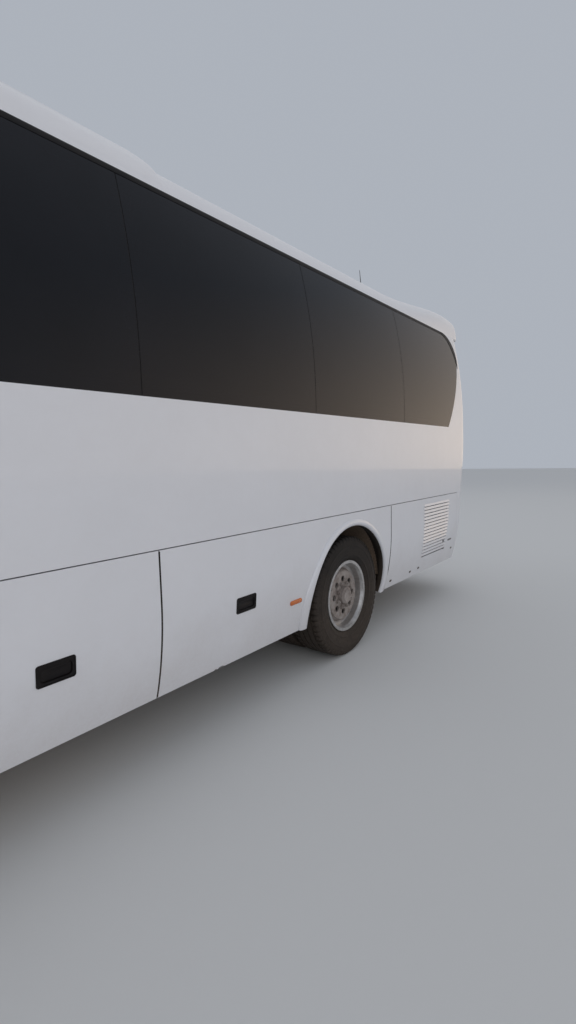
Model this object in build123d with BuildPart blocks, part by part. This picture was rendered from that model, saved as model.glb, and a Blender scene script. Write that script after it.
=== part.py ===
# Ten-metre coach bus: a shell of fixed panels over a low frame, side flaps hinged at the waist line,
# a rear engine door, a front-hinged passenger door, a steered front axle and a rear axle on twin wheels.
# Frame: +X forward, +Y to the driver's side (left), +Z up; origin on the ground, below the middle of the
# overall box. Units are millimetres.
from build123d import *
import os
from math import asin, cos, degrees, radians, sin, sqrt, tan

os.makedirs("parts", exist_ok=True)

# Overall sizes
body_length = 9980
body_width = 2500
mirror_reach = 260
wheelbase = 4800
rear_overhang = 2980
rear_face = -(body_length + mirror_reach) / 2
front_face = rear_face + body_length
rear_axle_x = rear_face + rear_overhang
front_axle_x = rear_axle_x + wheelbase
half_width = body_width / 2

# Cross-section of the body: a flat side between two gentle arcs, a tight cantrail and a crowned roof
sill_z = 950
shoulder_z = 2100
tuck_radius = 1950
lean_radius = 3820
lean_turn = 14.25
trim_width = 50
cantrail_radius = 250
crown_slope = 6.6
cantrail_turn = 90 - lean_turn - crown_slope
wall = 50
flap_wall = 40
glass_thickness = 10

# Ends of the body, as outlines turned about upright axes: (distance behind the end plane, height)
front_bow = 3600
rear_bow = 9000
end_radius = 240
front_outline = [(-90, 200), (0, 620), (-10, 1250), (-560, 3500)]
front_bends = [900, 900]
rear_outline = [(-180, 200), (-120, 950), (0, 1700), (-50, 2450), (-50, 3500)]
rear_bends = [1500, 1500, 1500]
shell_foot = 300

# Levels
skirt_z = 395
waist_z = 1218
belt_z = 1990
glass_top = 3060
gutter_z = 3089
floor_top = 1230
floor_thickness = 40
frame_z = 1050

# Seams along the side, as distances behind the rear axle, and where the fixed ends begin
engine_gap_x = rear_axle_x - 706
arch_gap_x = rear_axle_x + 1980
luggage_gap_x = rear_axle_x + 3120
wing_gap_x = front_axle_x - 670
cab_x = 3380
rear_low_x = -4650
rear_high_x = -4765
gap = 3

# Wheels
wheel_z = 505
tyre_radius = 505
tyre_width = 285
rim_radius = 285.75
flange_radius = 298.5
flange_width = 210
arch_radius = 600
lip_width = 52
lip_proud = 12
lip_step = 6
outer_wheel_y = 1070
twin_spacing = 330
kingpin_y = 880


def section(inset, foot, x):
    """Cross-section of the body, every arc moved inwards by inset, closed at the foot height."""
    with BuildSketch(Plane.YZ.offset(x)) as face:
        with BuildLine():
            low = JernArc((half_width - inset, sill_z), (0, -1), tuck_radius - inset, -17)
            Line(low @ 1, ((low @ 1).X, foot))
            side = Line((half_width - inset, sill_z), (half_width - inset, shoulder_z))
            lean = JernArc(side @ 1, (0, 1), lean_radius - inset, lean_turn)
            trim = Line(lean @ 1, lean @ 1 + (lean % 1) * trim_width)
            rail = JernArc(trim @ 1, trim % 1, cantrail_radius - inset, cantrail_turn)
            JernArc(rail @ 1, rail % 1, (rail @ 1).X / sin(radians(crown_slope)), crown_slope)
            mirror(about=Plane.YZ)
            Line((-(low @ 1).X, foot), ((low @ 1).X, foot))
        make_face()
    return face.sketch


def end_ring(axis_x, heading, sweep, outline, bends):
    """What lies outside an end of the body: a ring turned about an upright axis."""
    out = Vector(1, 0, 0).rotate(Axis.Z, heading - sweep / 2)
    far = max(u for u, z in outline) + 500
    with BuildPart() as ring:
        with BuildSketch(Plane(origin=(axis_x, 0, 0), x_dir=out, z_dir=out.cross(Vector(0, 0, 1)))):
            with BuildLine():
                edge = FilletPolyline(*outline, radius=bends)
                Polyline(edge @ 1, (far, outline[-1][1]), (far, outline[0][1]), edge @ 0)
            make_face()
        revolve(axis=Axis((axis_x, 0, 0), (0, 0, 1)), revolution_arc=sweep)
    return ring.part


def envelope(inset):
    """The whole body as one solid, moved inwards by inset, with its end corners rounded."""
    front_ring = end_ring(front_face - front_bow, 0, 60,
                          [(front_bow + u - inset, z) for u, z in front_outline], front_bends)
    rear_ring = end_ring(rear_face + rear_bow, 180, 24,
                         [(rear_bow + u - inset, z) for u, z in rear_outline], rear_bends)
    outline = section(inset, shell_foot, rear_face - 50)
    with BuildPart() as hull:
        extrude(to_extrude=outline, amount=body_length + 100, dir=(1, 0, 0))
        add(front_ring, mode=Mode.SUBTRACT)
        add(rear_ring, mode=Mode.SUBTRACT)
        ends = hull.edges().filter_by(
            lambda e: abs(e.center().X) > 3800
            and e.center().Z > shell_foot + 5
            and (abs(e.center().Y) > 700 or e.center().Z > 3100)
            and abs((e @ 0).X - (e @ 1).X) < 3000
        )
        fillet(ends, end_radius - inset)
    return hull.part


def block(x0, x1, y0, y1, z0, z1):
    """A plain box between two corners."""
    solid = Box(x1 - x0, y1 - y0, z1 - z0, mode=Mode.PRIVATE)
    return Pos((x0 + x1) / 2, (y0 + y1) / 2, (z0 + z1) / 2) * solid


def disc_y(x, z, radius, y0, y1):
    """A round bar along Y."""
    return Pos(x, (y0 + y1) / 2, z) * Rot(90, 0, 0) * Cylinder(radius, y1 - y0, mode=Mode.PRIVATE)


def disc_x(z, radius, x0, x1):
    """A round bar along X on the middle plane."""
    return Pos((x0 + x1) / 2, 0, z) * Rot(0, 90, 0) * Cylinder(radius, x1 - x0, mode=Mode.PRIVATE)


def disc_z(x, y, radius, z0, z1):
    """A round bar along Z."""
    return Pos(x, y, (z0 + z1) / 2) * Cylinder(radius, z1 - z0, mode=Mode.PRIVATE)


def side_band(side, outer, inner, x0, x1, z0, z1):
    """A stretch of one side wall between two insets of the cross-section."""
    whole = extrude(section(outer, shell_foot, x0), amount=x1 - x0, dir=(1, 0, 0))
    core = extrude(section(inner, shell_foot - 20, x0 - 1), amount=x1 - x0 + 2, dir=(1, 0, 0))
    reach = (half_width - 200) * side
    edge = (half_width + 100) * side
    return (whole & block(x0, x1, min(reach, edge), max(reach, edge), z0, z1)) - core


def save(piece, name):
    """Label a finished piece and write it."""
    piece.label = name
    export_step(piece, "parts/" + name + ".step")


sides = {"left": 1, "right": -1}
outer_shell = envelope(0)
inner_shell = envelope(wall)
glass_shell = envelope(glass_thickness)

# Side glass: one row of panes with a raked rear end, let in flush with the wall
pane_pitch = 1515
pane_gaps = [rear_axle_x - 998 + pane_pitch * i for i in range(5)]
pane_slot = 6
rear_end = [(rear_axle_x - 2201, belt_z), (rear_axle_x - 2585, 2705), (rear_axle_x - 2294, glass_top)]


def glass_outline(edge):
    """Outline of the side glass seen from the side, drawn inwards by edge."""
    with BuildSketch(Plane.XZ) as outline:
        with BuildLine():
            start, corner, top = rear_end
            rake = ThreePointArc(start, (rear_axle_x - 2445, 2380), corner)
            turn = ThreePointArc(corner, (rear_axle_x - 2530, 2930), top)
            Polyline(top, (cab_x, glass_top), (cab_x, belt_z), start)
        make_face()
        if edge:
            offset(amount=-edge, mode=Mode.REPLACE)
    return outline.sketch


for name, side in sides.items():
    glass = extrude(glass_outline(0), amount=2000, both=True)
    skin = side_band(side, 0, glass_thickness, rear_high_x, cab_x, belt_z, glass_top)
    with BuildPart() as side_glass:
        add(skin)
        add(glass, mode=Mode.INTERSECT)
        for x in pane_gaps:
            add(block(x - pane_slot / 2, x + pane_slot / 2, -2000, 2000, 0, 4000), mode=Mode.SUBTRACT)
    save(side_glass.part, "side_glass_" + name)

    hole_outline = glass_outline(60)
    with BuildPart() as windows:
        with BuildSketch(Plane.XZ):
            add(hole_outline)
            for x in pane_gaps + [cab_x]:
                with Locations((x, 2500)):
                    Rectangle(120, 2000, mode=Mode.SUBTRACT)
        extrude(amount=2000, both=True)
    wall_band = side_band(side, 0, wall, rear_high_x, cab_x, waist_z, gutter_z)
    recess = skin & glass
    with BuildPart() as side_wall:
        add(wall_band)
        add(recess, mode=Mode.SUBTRACT)
        add(windows.part, mode=Mode.SUBTRACT)
    save(side_wall.part, "side_wall_" + name)

# Roof panel between the gutters
roof_outer = section(0, shell_foot, rear_high_x)
roof_inner = section(wall, shell_foot - 20, rear_high_x)
with BuildPart() as roof_panel:
    extrude(to_extrude=roof_outer, amount=cab_x - rear_high_x, dir=(1, 0, 0))
    extrude(to_extrude=roof_inner, amount=cab_x - rear_high_x, dir=(1, 0, 0), mode=Mode.SUBTRACT)
    add(block(rear_high_x, cab_x, -1400, 1400, gutter_z, 3500), mode=Mode.INTERSECT)
save(roof_panel.part, "roof_panel")

# Flaps below the waist line: (name, rear edge, front edge)
flap_top = waist_z - 6
flaps = [
    ("engine_side_door", rear_low_x, engine_gap_x),
    ("arch_door", engine_gap_x, arch_gap_x),
    ("luggage_door_rear", arch_gap_x, luggage_gap_x),
    ("luggage_door_front", luggage_gap_x, wing_gap_x),
]
handles = {"arch_door": rear_axle_x + 1320, "luggage_door_rear": rear_axle_x + 2550,
           "luggage_door_front": rear_axle_x + 3690}
handle_z = 770
pocket_length, pocket_height, pocket_depth = 151, 71, 22
louvre_count = 16
louvre_pitch = 36
louvre_top = 1150
louvre_x0 = rear_axle_x - 1504
louvre_length = 727
louvre_step = 72
louvre_frame = 22


def skin_y(z):
    """Distance of the outer skin from the middle at a height below the shoulder."""
    drop = max(sill_z - z, 0)
    return half_width - tuck_radius + sqrt(tuck_radius ** 2 - drop ** 2)


def louvre_rear_x(z):
    """Rear edge of the louvre field, which steps forward lower down."""
    return louvre_x0 - louvre_length + louvre_step * (louvre_top - z) / (louvre_count * louvre_pitch)


def pocket(x, side):
    """The recess behind a flap handle, as the solid to take away."""
    with BuildPart() as cut:
        with BuildSketch(Plane.XZ.offset(-side * (skin_y(handle_z) - pocket_depth))):
            with Locations((x, handle_z)):
                RectangleRounded(pocket_length, pocket_height, 22)
        extrude(amount=-side * 100)
    return cut.part


def louvre_field(side):
    """The opening of the louvres and the slats that cross it, each a blade leaning outwards and down."""
    low = louvre_top - louvre_count * louvre_pitch
    with BuildPart() as field:
        with BuildSketch(Plane.XZ.offset(-side * 1000)):
            with BuildLine():
                Polyline((louvre_x0, low), (louvre_x0, louvre_top), (louvre_rear_x(louvre_top), louvre_top),
                         (louvre_rear_x(low), low), (louvre_x0, low))
            make_face()
        extrude(amount=-side * 400)
    blades = []
    for i in range(louvre_count):
        z = louvre_top - louvre_pitch * i
        y = skin_y(z - louvre_pitch)
        with BuildPart() as blade:
            with BuildSketch(Plane.YZ.offset(louvre_rear_x(z) - louvre_frame / 2)):
                with BuildLine():
                    Polyline((side * (skin_y(z) - 22), z + 3), (side * (skin_y(z) - 2), z + 3),
                             (side * (y + 7), z - louvre_pitch + 15), (side * (y + 3), z - louvre_pitch + 11),
                             (side * (skin_y(z) - 22), z - 4), (side * (skin_y(z) - 22), z + 3))
                make_face()
            extrude(amount=louvre_x0 - louvre_rear_x(z) + louvre_frame)
        blades.append(blade.part)
    return field.part, blades




def lip_solid(x, bands):
    """A wheel arch lip cut from two bands of the side: its full width half proud, the middle wholly proud."""
    low_band, high_band = bands
    full = disc_y(x, wheel_z, arch_radius + lip_width, -1400, 1400)
    ring = disc_y(x, wheel_z, arch_radius + lip_width - lip_step, -1400, 1400)
    ring = ring - disc_y(x, wheel_z, arch_radius + lip_step, -1500, 1500)
    return (low_band & full) + (high_band & ring)


rear_arch = disc_y(rear_axle_x, wheel_z, arch_radius, -1400, 1400)
for name, side in sides.items():
    lip_bands = [side_band(side, -proud, flap_wall, engine_gap_x + gap, arch_gap_x - gap, skirt_z, flap_top)
                 for proud in (lip_proud / 2, lip_proud)]
    rear_lip = lip_solid(rear_axle_x, lip_bands)
    for flap_name, x0, x1 in flaps:
        flap_band = side_band(side, 0, flap_wall, x0 + gap, x1 - gap, skirt_z, flap_top)
        if flap_name == "engine_side_door":
            field, blades = louvre_field(side)
            flap_band = (flap_band - field).fuse(*blades).clean()
        else:
            flap_band = flap_band - pocket(handles[flap_name], side)
        with BuildPart() as flap:
            add(flap_band)
            if flap_name == "arch_door":
                add(rear_lip)
                add(rear_arch, mode=Mode.SUBTRACT)
        save(flap.part, flap_name + "_" + name)

# Front wings: fixed skirts with the front wheel arches
wing_bands = []
for side in sides.values():
    bands = [side_band(side, -proud, wall, wing_gap_x + gap, cab_x, skirt_z, waist_z)
             for proud in (0, lip_proud / 2, lip_proud)]
    wing_bands += [bands[0], lip_solid(front_axle_x, bands[1:])]
with BuildPart() as front_wings:
    for band in wing_bands:
        add(band)
    add(disc_y(front_axle_x, wheel_z, arch_radius, -1400, 1400), mode=Mode.SUBTRACT)
save(front_wings.part, "front_wings")

# Front end
bumper_top = 640
tow_z = 560
front_intake_width, rear_hatch_width, intake_height = 620, 260, 110
door_x0 = cab_x + 20
door_x1 = 4180
stair_y = 480
door_top = 2960
windscreen_foot = 1330
windscreen_top = 2960
front_shell = (outer_shell & block(cab_x, 5300, -1400, 1400, skirt_z - 30, 3500)) - inner_shell
glazing = (outer_shell & block(cab_x, 5300, -1400, 1400, skirt_z - 30, 3500)) - glass_shell
door_region = block(door_x0, door_x1, -1400, -700, skirt_z - 40, door_top)
with BuildPart() as screen_cut:
    with BuildSketch(Plane.YZ.offset(3000)):
        with Locations((0, (windscreen_foot + windscreen_top) / 2)):
            RectangleRounded(2 * 1080, windscreen_top - windscreen_foot, 140)
    extrude(amount=2400)
with BuildPart() as screen_hole:
    with BuildSketch(Plane.YZ.offset(3000)):
        with Locations((0, (windscreen_foot + windscreen_top) / 2)):
            RectangleRounded(2 * 1020, windscreen_top - windscreen_foot - 120, 100)
    extrude(amount=2400)
front_zone = block(4190, 5300, -1400, 1400, 1000, 3300)
screen_glass = glazing & (screen_cut.part & front_zone)
driver_window = block(cab_x, 4010, 900, 1400, belt_z, glass_top)
driver_hole = block(cab_x + 60, 3950, 900, 1400, belt_z + 60, glass_top - 60)
driver_glass = glazing & driver_window


def round_prism(x, y, z, width, height, radius):
    """A prism along X with round corners, that cuts a lamp or a hole out of an end of the body."""
    with BuildPart() as prism:
        with BuildSketch(Plane.YZ.offset(x)):
            with Locations((y, z)):
                RectangleRounded(width, height, radius)
        extrude(amount=1000)
    return prism.part


head_lamp = (4300, 880, 815, 500, 190, 70)
tail_lamp = (-5850, 1010, 1200, 290, 560, 60)
lamp_regions = []
tail_regions = []
for side in sides.values():
    for regions, (x, y, z, width, height, radius) in ((lamp_regions, head_lamp), (tail_regions, tail_lamp)):
        regions.append(round_prism(x, side * y, z, width, height, radius))

with BuildPart() as cab_shell:
    add(front_shell)
    add(block(cab_x - 10, 5300, -1400, 1400, bumper_top, 3500), mode=Mode.INTERSECT)
    add(door_region, mode=Mode.SUBTRACT)
    add(screen_glass, mode=Mode.SUBTRACT)
    add(screen_hole.part & front_zone, mode=Mode.SUBTRACT)
    add(driver_glass, mode=Mode.SUBTRACT)
    add(driver_hole, mode=Mode.SUBTRACT)
    for region in lamp_regions:
        add(region, mode=Mode.SUBTRACT)
save(cab_shell.part, "cab_shell")

front_intake = round_prism(4300, 0, tow_z, front_intake_width, intake_height, intake_height / 3)
with BuildPart() as front_bumper:
    add(front_shell)
    add(block(cab_x - 10, 5300, -1400, 1400, skirt_z - 30, bumper_top), mode=Mode.INTERSECT)
    add(door_region, mode=Mode.SUBTRACT)
    add(front_intake, mode=Mode.SUBTRACT)
save(front_bumper.part, "front_bumper")

leaf_region = block(door_x0 + 5, door_x1 - 5, -1400, -700, skirt_z, door_top - 5)
with BuildPart() as passenger_door:
    add(front_shell)
    add(leaf_region, mode=Mode.INTERSECT)
    add(block(door_x0 + 100, door_x1 - 100, -1400, -700, 1500, 2800), mode=Mode.SUBTRACT)
save(passenger_door.part, "passenger_door")
with BuildPart() as door_glass:
    add(glazing)
    add(block(door_x0 + 100, door_x1 - 100, -1400, -700, 1500, 2800), mode=Mode.INTERSECT)
save(door_glass.part, "door_glass")

# Rear end
rear_door_z0 = 660
rear_door_z1 = 1690
rear_door_half = 800
grille_z = 1010
grille_rows, grille_pitch, grille_height, grille_slot = 9, 46, 24, 600
rear_block = block(-5300, rear_low_x, -1400, 1400, skirt_z, waist_z)
rear_block_high = block(-5300, rear_high_x, -1400, 1400, waist_z, 3500)
rear_ring = (outer_shell & (rear_block + rear_block_high)) - inner_shell
rear_glazing = (outer_shell & rear_block_high) - glass_shell
rear_window_zone = block(-5300, -4800, -900, 900, 2020, 2850)
rear_glass = rear_glazing & rear_window_zone
with BuildPart() as end_windows:
    add(screen_glass)
    add(driver_glass)
    add(rear_glass)
save(end_windows.part, "end_windows")
with BuildPart() as lamps:
    for region in lamp_regions:
        add(front_shell & region)
    for region in tail_regions:
        add(rear_ring & region)
save(lamps.part, "lamps")
door_zone = block(-5300, -4700, -rear_door_half, rear_door_half, rear_door_z0, rear_door_z1)
with BuildPart() as rear_shell:
    add(rear_ring)
    add(block(-5300, rear_low_x + 10, -1400, 1400, bumper_top, 3500), mode=Mode.INTERSECT)
    add(door_zone, mode=Mode.SUBTRACT)
    add(rear_glass, mode=Mode.SUBTRACT)
    for region in tail_regions:
        add(region, mode=Mode.SUBTRACT)
    add(block(-5300, -4800, -840, 840, 2080, 2790), mode=Mode.SUBTRACT)
save(rear_shell.part, "rear_shell")
with BuildPart() as rear_engine_door:
    add(rear_ring)
    add(block(-5300, -4700, -rear_door_half + 5, rear_door_half - 5, rear_door_z0 + 5, rear_door_z1 - 5),
        mode=Mode.INTERSECT)
    with Locations(Location((rear_face, 0, grille_z), (0, 90, 0))):
        with GridLocations(grille_pitch, grille_slot + 80, grille_rows, 2):
            Box(grille_height, grille_slot, 600, mode=Mode.SUBTRACT)
save(rear_engine_door.part, "rear_engine_door")
rear_hatch = round_prism(-5700, 0, tow_z, rear_hatch_width, intake_height, intake_height / 3)
with BuildPart() as rear_bumper:
    add(rear_ring)
    add(block(-5300, rear_low_x + 10, -1400, 1400, skirt_z, bumper_top), mode=Mode.INTERSECT)
    add(rear_hatch, mode=Mode.SUBTRACT)
save(rear_bumper.part, "rear_bumper")

# Raised fairing across the rear of the roof: three outlines, from the side, from behind and from above
fairing_half = 1121
with BuildPart() as rear_fairing:
    with BuildSketch(Plane.XZ.offset(-fairing_half - 20)):
        with BuildLine():
            edge = FilletPolyline((rear_axle_x - 1100, 3165), (rear_axle_x - 1750, 3284),
                                  (rear_axle_x - 2280, 3340), (rear_axle_x - 2830, 3352),
                                  (rear_face + 54, 3225), (rear_face + 46, 3060),
                                  radius=[2600, 3500, 120, 300])
            Line(edge @ 1, edge @ 0)
        make_face()
    extrude(amount=2 * fairing_half + 40)
    with BuildSketch(Plane.YZ.offset(rear_face - 50)):
        with BuildLine():
            edge = FilletPolyline((fairing_half, 3040), (1082, 3318), (0, 3395), (-1082, 3318),
                                  (-fairing_half, 3040), radius=[140, 4000, 140])
            Line(edge @ 1, edge @ 0)
        make_face()
    extrude(amount=2000, mode=Mode.INTERSECT)
    with BuildSketch(Plane.XY.offset(2900)):
        with BuildLine():
            edge = FilletPolyline((-3200, fairing_half + 6), (rear_face + 116, fairing_half + 6),
                                  (rear_face + 44, 0), (rear_face + 116, -fairing_half - 6),
                                  (-3200, -fairing_half - 6), radius=[236, 8000, 236])
            Line(edge @ 1, edge @ 0)
        make_face()
    extrude(amount=700, mode=Mode.INTERSECT)
    add(outer_shell, mode=Mode.SUBTRACT)
save(max(rear_fairing.part.solids(), key=lambda solid: solid.volume), "rear_fairing")

# Air-conditioner pod on the roof
pod_x0 = rear_axle_x + 1500
pod_length = 3400
pod_top = 3490
pod_half = 900
with BuildPart() as roof_pod:
    with BuildSketch(Plane.YZ.offset(pod_x0)):
        with BuildLine():
            FilletPolyline((pod_half, 3200), (pod_half, 3330), (pod_half - 90, pod_top),
                           (-pod_half + 90, pod_top), (-pod_half, 3330), (-pod_half, 3200),
                           radius=[60, 120, 120, 60])
            Line((-pod_half, 3200), (pod_half, 3200))
        make_face()
    extrude(amount=pod_length)
    with BuildSketch(Plane.XZ.offset(-pod_half - 10)):
        with BuildLine():
            FilletPolyline((pod_x0, 3100), (pod_x0, 3330), (pod_x0 + 130, pod_top),
                           (pod_x0 + pod_length - 500, pod_top), (pod_x0 + pod_length, 3340),
                           (pod_x0 + pod_length, 3100), radius=[40, 80, 400, 60])
            Line((pod_x0 + pod_length, 3100), (pod_x0, 3100))
        make_face()
    extrude(amount=2 * pod_half + 20, mode=Mode.INTERSECT)
    add(outer_shell, mode=Mode.SUBTRACT)
save(roof_pod.part, "roof_pod")

# Roof hatches: shallow lids over the aisle, behind and ahead of the pod
hatch_length, hatch_width, hatch_top = 760, 640, 3372
with BuildPart() as roof_hatches:
    for x in (rear_axle_x + 500, cab_x - 120):
        with BuildSketch(Plane.XY.offset(3250)):
            with Locations((x, 0)):
                RectangleRounded(hatch_length, hatch_width, 90)
        extrude(amount=hatch_top - 3250)
    add(outer_shell, mode=Mode.SUBTRACT)
save(roof_hatches.part, "roof_hatches")

# Saloon floor with the lower cab floor ahead of it, the stairwell and its steps
cab_floor_top = 930
cab_floor_x = 3480
floor_x0 = -4840
step_rise = 205
with BuildPart() as saloon_floor:
    add(inner_shell)
    add(block(floor_x0, cab_floor_x, -1300, 1300, floor_top - floor_thickness, floor_top), mode=Mode.INTERSECT)
    add(block(door_x0 - 10, cab_floor_x + 1, -1300, -stair_y, 1000, 1400), mode=Mode.SUBTRACT)
cab_floor = inner_shell & block(cab_floor_x - 30, 4700, -stair_y, 1300, cab_floor_top - 30, cab_floor_top)
riser = inner_shell & block(cab_floor_x - 30, cab_floor_x, -stair_y, 1300, cab_floor_top - 30, floor_top)
with BuildPart() as floors:
    add(saloon_floor.part)
    add(cab_floor)
    add(riser)
save(floors.part, "saloon_floor")
step_foot = 415
with BuildPart() as entry_steps:
    with BuildSketch(Plane.YZ.offset(door_x0 + 20)):
        with BuildLine():
            Polyline((-stair_y, step_foot), (-1090, step_foot), (-1090, step_foot + step_rise),
                     (-890, step_foot + step_rise), (-890, step_foot + 2 * step_rise),
                     (-690, step_foot + 2 * step_rise), (-690, cab_floor_top), (-stair_y, cab_floor_top),
                     (-stair_y, step_foot))
        make_face()
    extrude(amount=door_x1 - door_x0 - 40)
save(entry_steps.part, "entry_steps")

# Underframe: two long rails under the floor, two lower ones at the front, and the members between and outside
rail_y, rail_width, low_rail_width = 430, 80, 70
frame_top = floor_top - floor_thickness
low_rail_z, low_rail_top = 720, cab_floor_top - 30
rail_x0, rail_x1 = -4830, cab_floor_x - 40
bay_x0 = arch_gap_x + 40
bay_x1 = wing_gap_x - 40
member_half, low_member_half, upright_half, member_reach, member_drop = 40, 30, 30, 1150, 20
upright_x = (bay_x1 + 60, cab_floor_x - 80)
member_x = (-4560, -3500, rear_axle_x + 740, bay_x0 - 60) + upright_x
tow_radius, tow_half, tow_depth = 20, 60, 80
front_tow_x = 4560
rear_tow_x = -4870
with BuildPart() as underframe:
    for side in sides.values():
        y = side * rail_y
        add(block(rail_x0, rail_x1, y - rail_width / 2, y + rail_width / 2, frame_z, frame_top))
save(underframe.part, "underframe")
with BuildPart() as front_frame:
    for side in sides.values():
        y = side * rail_y
        add(block(bay_x1 + 20, front_tow_x, y - low_rail_width / 2, y + low_rail_width / 2,
                  low_rail_z, low_rail_top))
save(front_frame.part, "front_frame")
inner_y, outer_y = rail_y - rail_width / 2, rail_y + rail_width / 2
member_spans = ((-member_reach, -outer_y), (-inner_y, inner_y), (outer_y, member_reach))
with BuildPart() as cross_members:
    for x in member_x:
        for y0, y1 in member_spans:
            add(block(x - member_half, x + member_half, y0, y1, frame_z + member_drop, frame_top))
    low_y = rail_y - low_rail_width / 2
    for x in (front_axle_x - 640, front_axle_x + 700):
        add(block(x - low_member_half, x + low_member_half, -low_y, low_y,
                  low_rail_z + member_drop, low_rail_top))
    for x in upright_x:
        for side in sides.values():
            y = side * rail_y
            add(block(x - member_half, x + member_half, y - upright_half, y + upright_half,
                      low_rail_top, frame_z))
save(cross_members.part, "cross_members")

# Towing sockets: bored blocks below the end beams of the frame
with BuildPart() as tow_sockets:
    add(block(front_tow_x, front_tow_x + tow_depth, -rail_y - 35, rail_y + 35,
              low_rail_z + member_drop, low_rail_top))
    add(block(front_tow_x, front_tow_x + tow_depth, -tow_half, tow_half,
              tow_z - tow_half, low_rail_z + member_drop))
    add(disc_x(tow_z, tow_radius, front_tow_x - 40, front_tow_x + 100), mode=Mode.SUBTRACT)
    add(block(rear_tow_x, rail_x0, -outer_y, outer_y, frame_z + member_drop, frame_top))
    add(block(rear_tow_x, rear_tow_x + tow_depth, -tow_half, tow_half,
              tow_z - tow_half, frame_z + member_drop))
    add(disc_x(tow_z, tow_radius, rear_tow_x - 20, rear_tow_x + 100), mode=Mode.SUBTRACT)
save(tow_sockets.part, "tow_sockets")

# Fuel tank across the frame behind the luggage bays, hung from the rails
tank_x0, tank_x1, tank_half, tank_z0, tank_z1 = -1120, -420, 700, 470, 960
with BuildPart() as fuel_tank:
    with BuildSketch(Plane.XZ.offset(-tank_half)):
        with Locations(((tank_x0 + tank_x1) / 2, (tank_z0 + tank_z1) / 2)):
            RectangleRounded(tank_x1 - tank_x0, tank_z1 - tank_z0, 110)
    extrude(amount=2 * tank_half)
    for side in sides.values():
        for x in (tank_x0 + 160, tank_x1 - 160):
            add(block(x - 30, x + 30, side * rail_y - 25, side * rail_y + 25, tank_z1 - 5, frame_z))
save(fuel_tank.part, "fuel_tank")

# Exhaust: a silencer on the right of the engine with a tail pipe out below the rear bumper
silencer_y, silencer_z, silencer_radius = -760, 640, 130
with BuildPart() as exhaust:
    with Locations(Location((-4350, silencer_y, silencer_z), (0, 90, 0))):
        Cylinder(silencer_radius, 800)
    pipe_run = ((-4690, silencer_z), (-4755, silencer_z), (-4810, 345), (-4990, 345))
    with BuildLine(Plane.XZ.offset(-silencer_y)):
        path = FilletPolyline(*pipe_run, radius=60)
    with BuildSketch(Plane(origin=path @ 0, z_dir=path % 0)):
        Circle(45)
    sweep(path=path)
    add(block(-4585, -4535, silencer_y - 30, silencer_y + 30, silencer_z + silencer_radius - 10, frame_z + 20))
save(exhaust.part, "exhaust")

# Luggage bays between the axles: a floor hung from bulkheads, with one partition
bay_floor_z = 440
bay_plate = 30
with BuildPart() as bay_floor:
    add(block(bay_x0, bay_x1, -1100, 1100, bay_floor_z, bay_floor_z + bay_plate))
save(bay_floor.part, "luggage_bays")
with BuildPart() as bay_bulkheads:
    for x in (bay_x0, luggage_gap_x - bay_plate / 2, bay_x1 - bay_plate):
        add(block(x, x + bay_plate, -1100, 1100, bay_floor_z + bay_plate, frame_z))
save(bay_bulkheads.part, "bay_bulkheads")

# Wheel arch liners: half drums over each wheel, closed on the inner side and hung from the floor
liner_radius = 640
liner_sheet = 10
liner_foot = 560
liner_wall_foot = 705
liner_outer_y = 1150
with BuildPart() as arch_liners:
    for side in sides.values():
        for x, inner in ((front_axle_x, 540), (rear_axle_x, 560)):
            y0 = min(side * inner, side * liner_outer_y)
            y1 = max(side * inner, side * liner_outer_y)
            drum = disc_y(x, wheel_z, liner_radius, y0, y1)
            hollow = disc_y(x, wheel_z, liner_radius - liner_sheet, y0 - 5, y1 + 5)
            add(drum - hollow - block(x - 800, x + 800, y0 - 5, y1 + 5, -300, liner_foot))
            wall_y = sorted((side * inner, side * (inner + liner_sheet)))
            inner_wall = disc_y(x, wheel_z, liner_radius - liner_sheet / 2, *wall_y)
            add(inner_wall - block(x - 800, x + 800, wall_y[0] - 5, wall_y[1] + 5, -300, liner_wall_foot))
            hanger_y = sorted((side * (inner + 60), side * (inner + 100)))
            add(block(x - 40, x + 40, *hanger_y, wheel_z + liner_radius - 8, frame_top))
save(arch_liners.part, "arch_liners")

# Engine, plain, at the very rear under the floor
engine_x1 = -3560
with BuildPart() as engine_block:
    add(block(-4740, engine_x1, -400, 400, 480, frame_z))
save(engine_block.part, "engine_block")

# Axles: the rear one with its final drive, shaft, brake backplates and air springs
backplate_radius = 180
backplate_y = 594
with BuildPart() as rear_axle:
    add(disc_y(rear_axle_x, wheel_z, 75, -560, 560))
    add(disc_y(rear_axle_x, wheel_z, 205, -110, 110))
    add(disc_x(wheel_z + 25, 45, engine_x1, rear_axle_x))
    for side in sides.values():
        add(disc_y(rear_axle_x, wheel_z, backplate_radius, *sorted((side * 550, side * backplate_y))))
        add(block(rear_axle_x - 420, rear_axle_x + 420, side * 430 - 40, side * 430 + 40, 560, 620))
        for dx in (-380, 380):
            add(disc_z(rear_axle_x + dx, side * 430, 110, 620, frame_z))
save(rear_axle.part, "rear_axle")
with BuildPart() as front_axle:
    add(block(front_axle_x - 55, front_axle_x + 55, -kingpin_y, kingpin_y, 420, 540))
    for side in sides.values():
        add(disc_z(front_axle_x, side * kingpin_y, 50, 420, 560))
        add(disc_z(front_axle_x, side * 430, 100, 540, low_rail_z))
save(front_axle.part, "front_axle")

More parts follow.
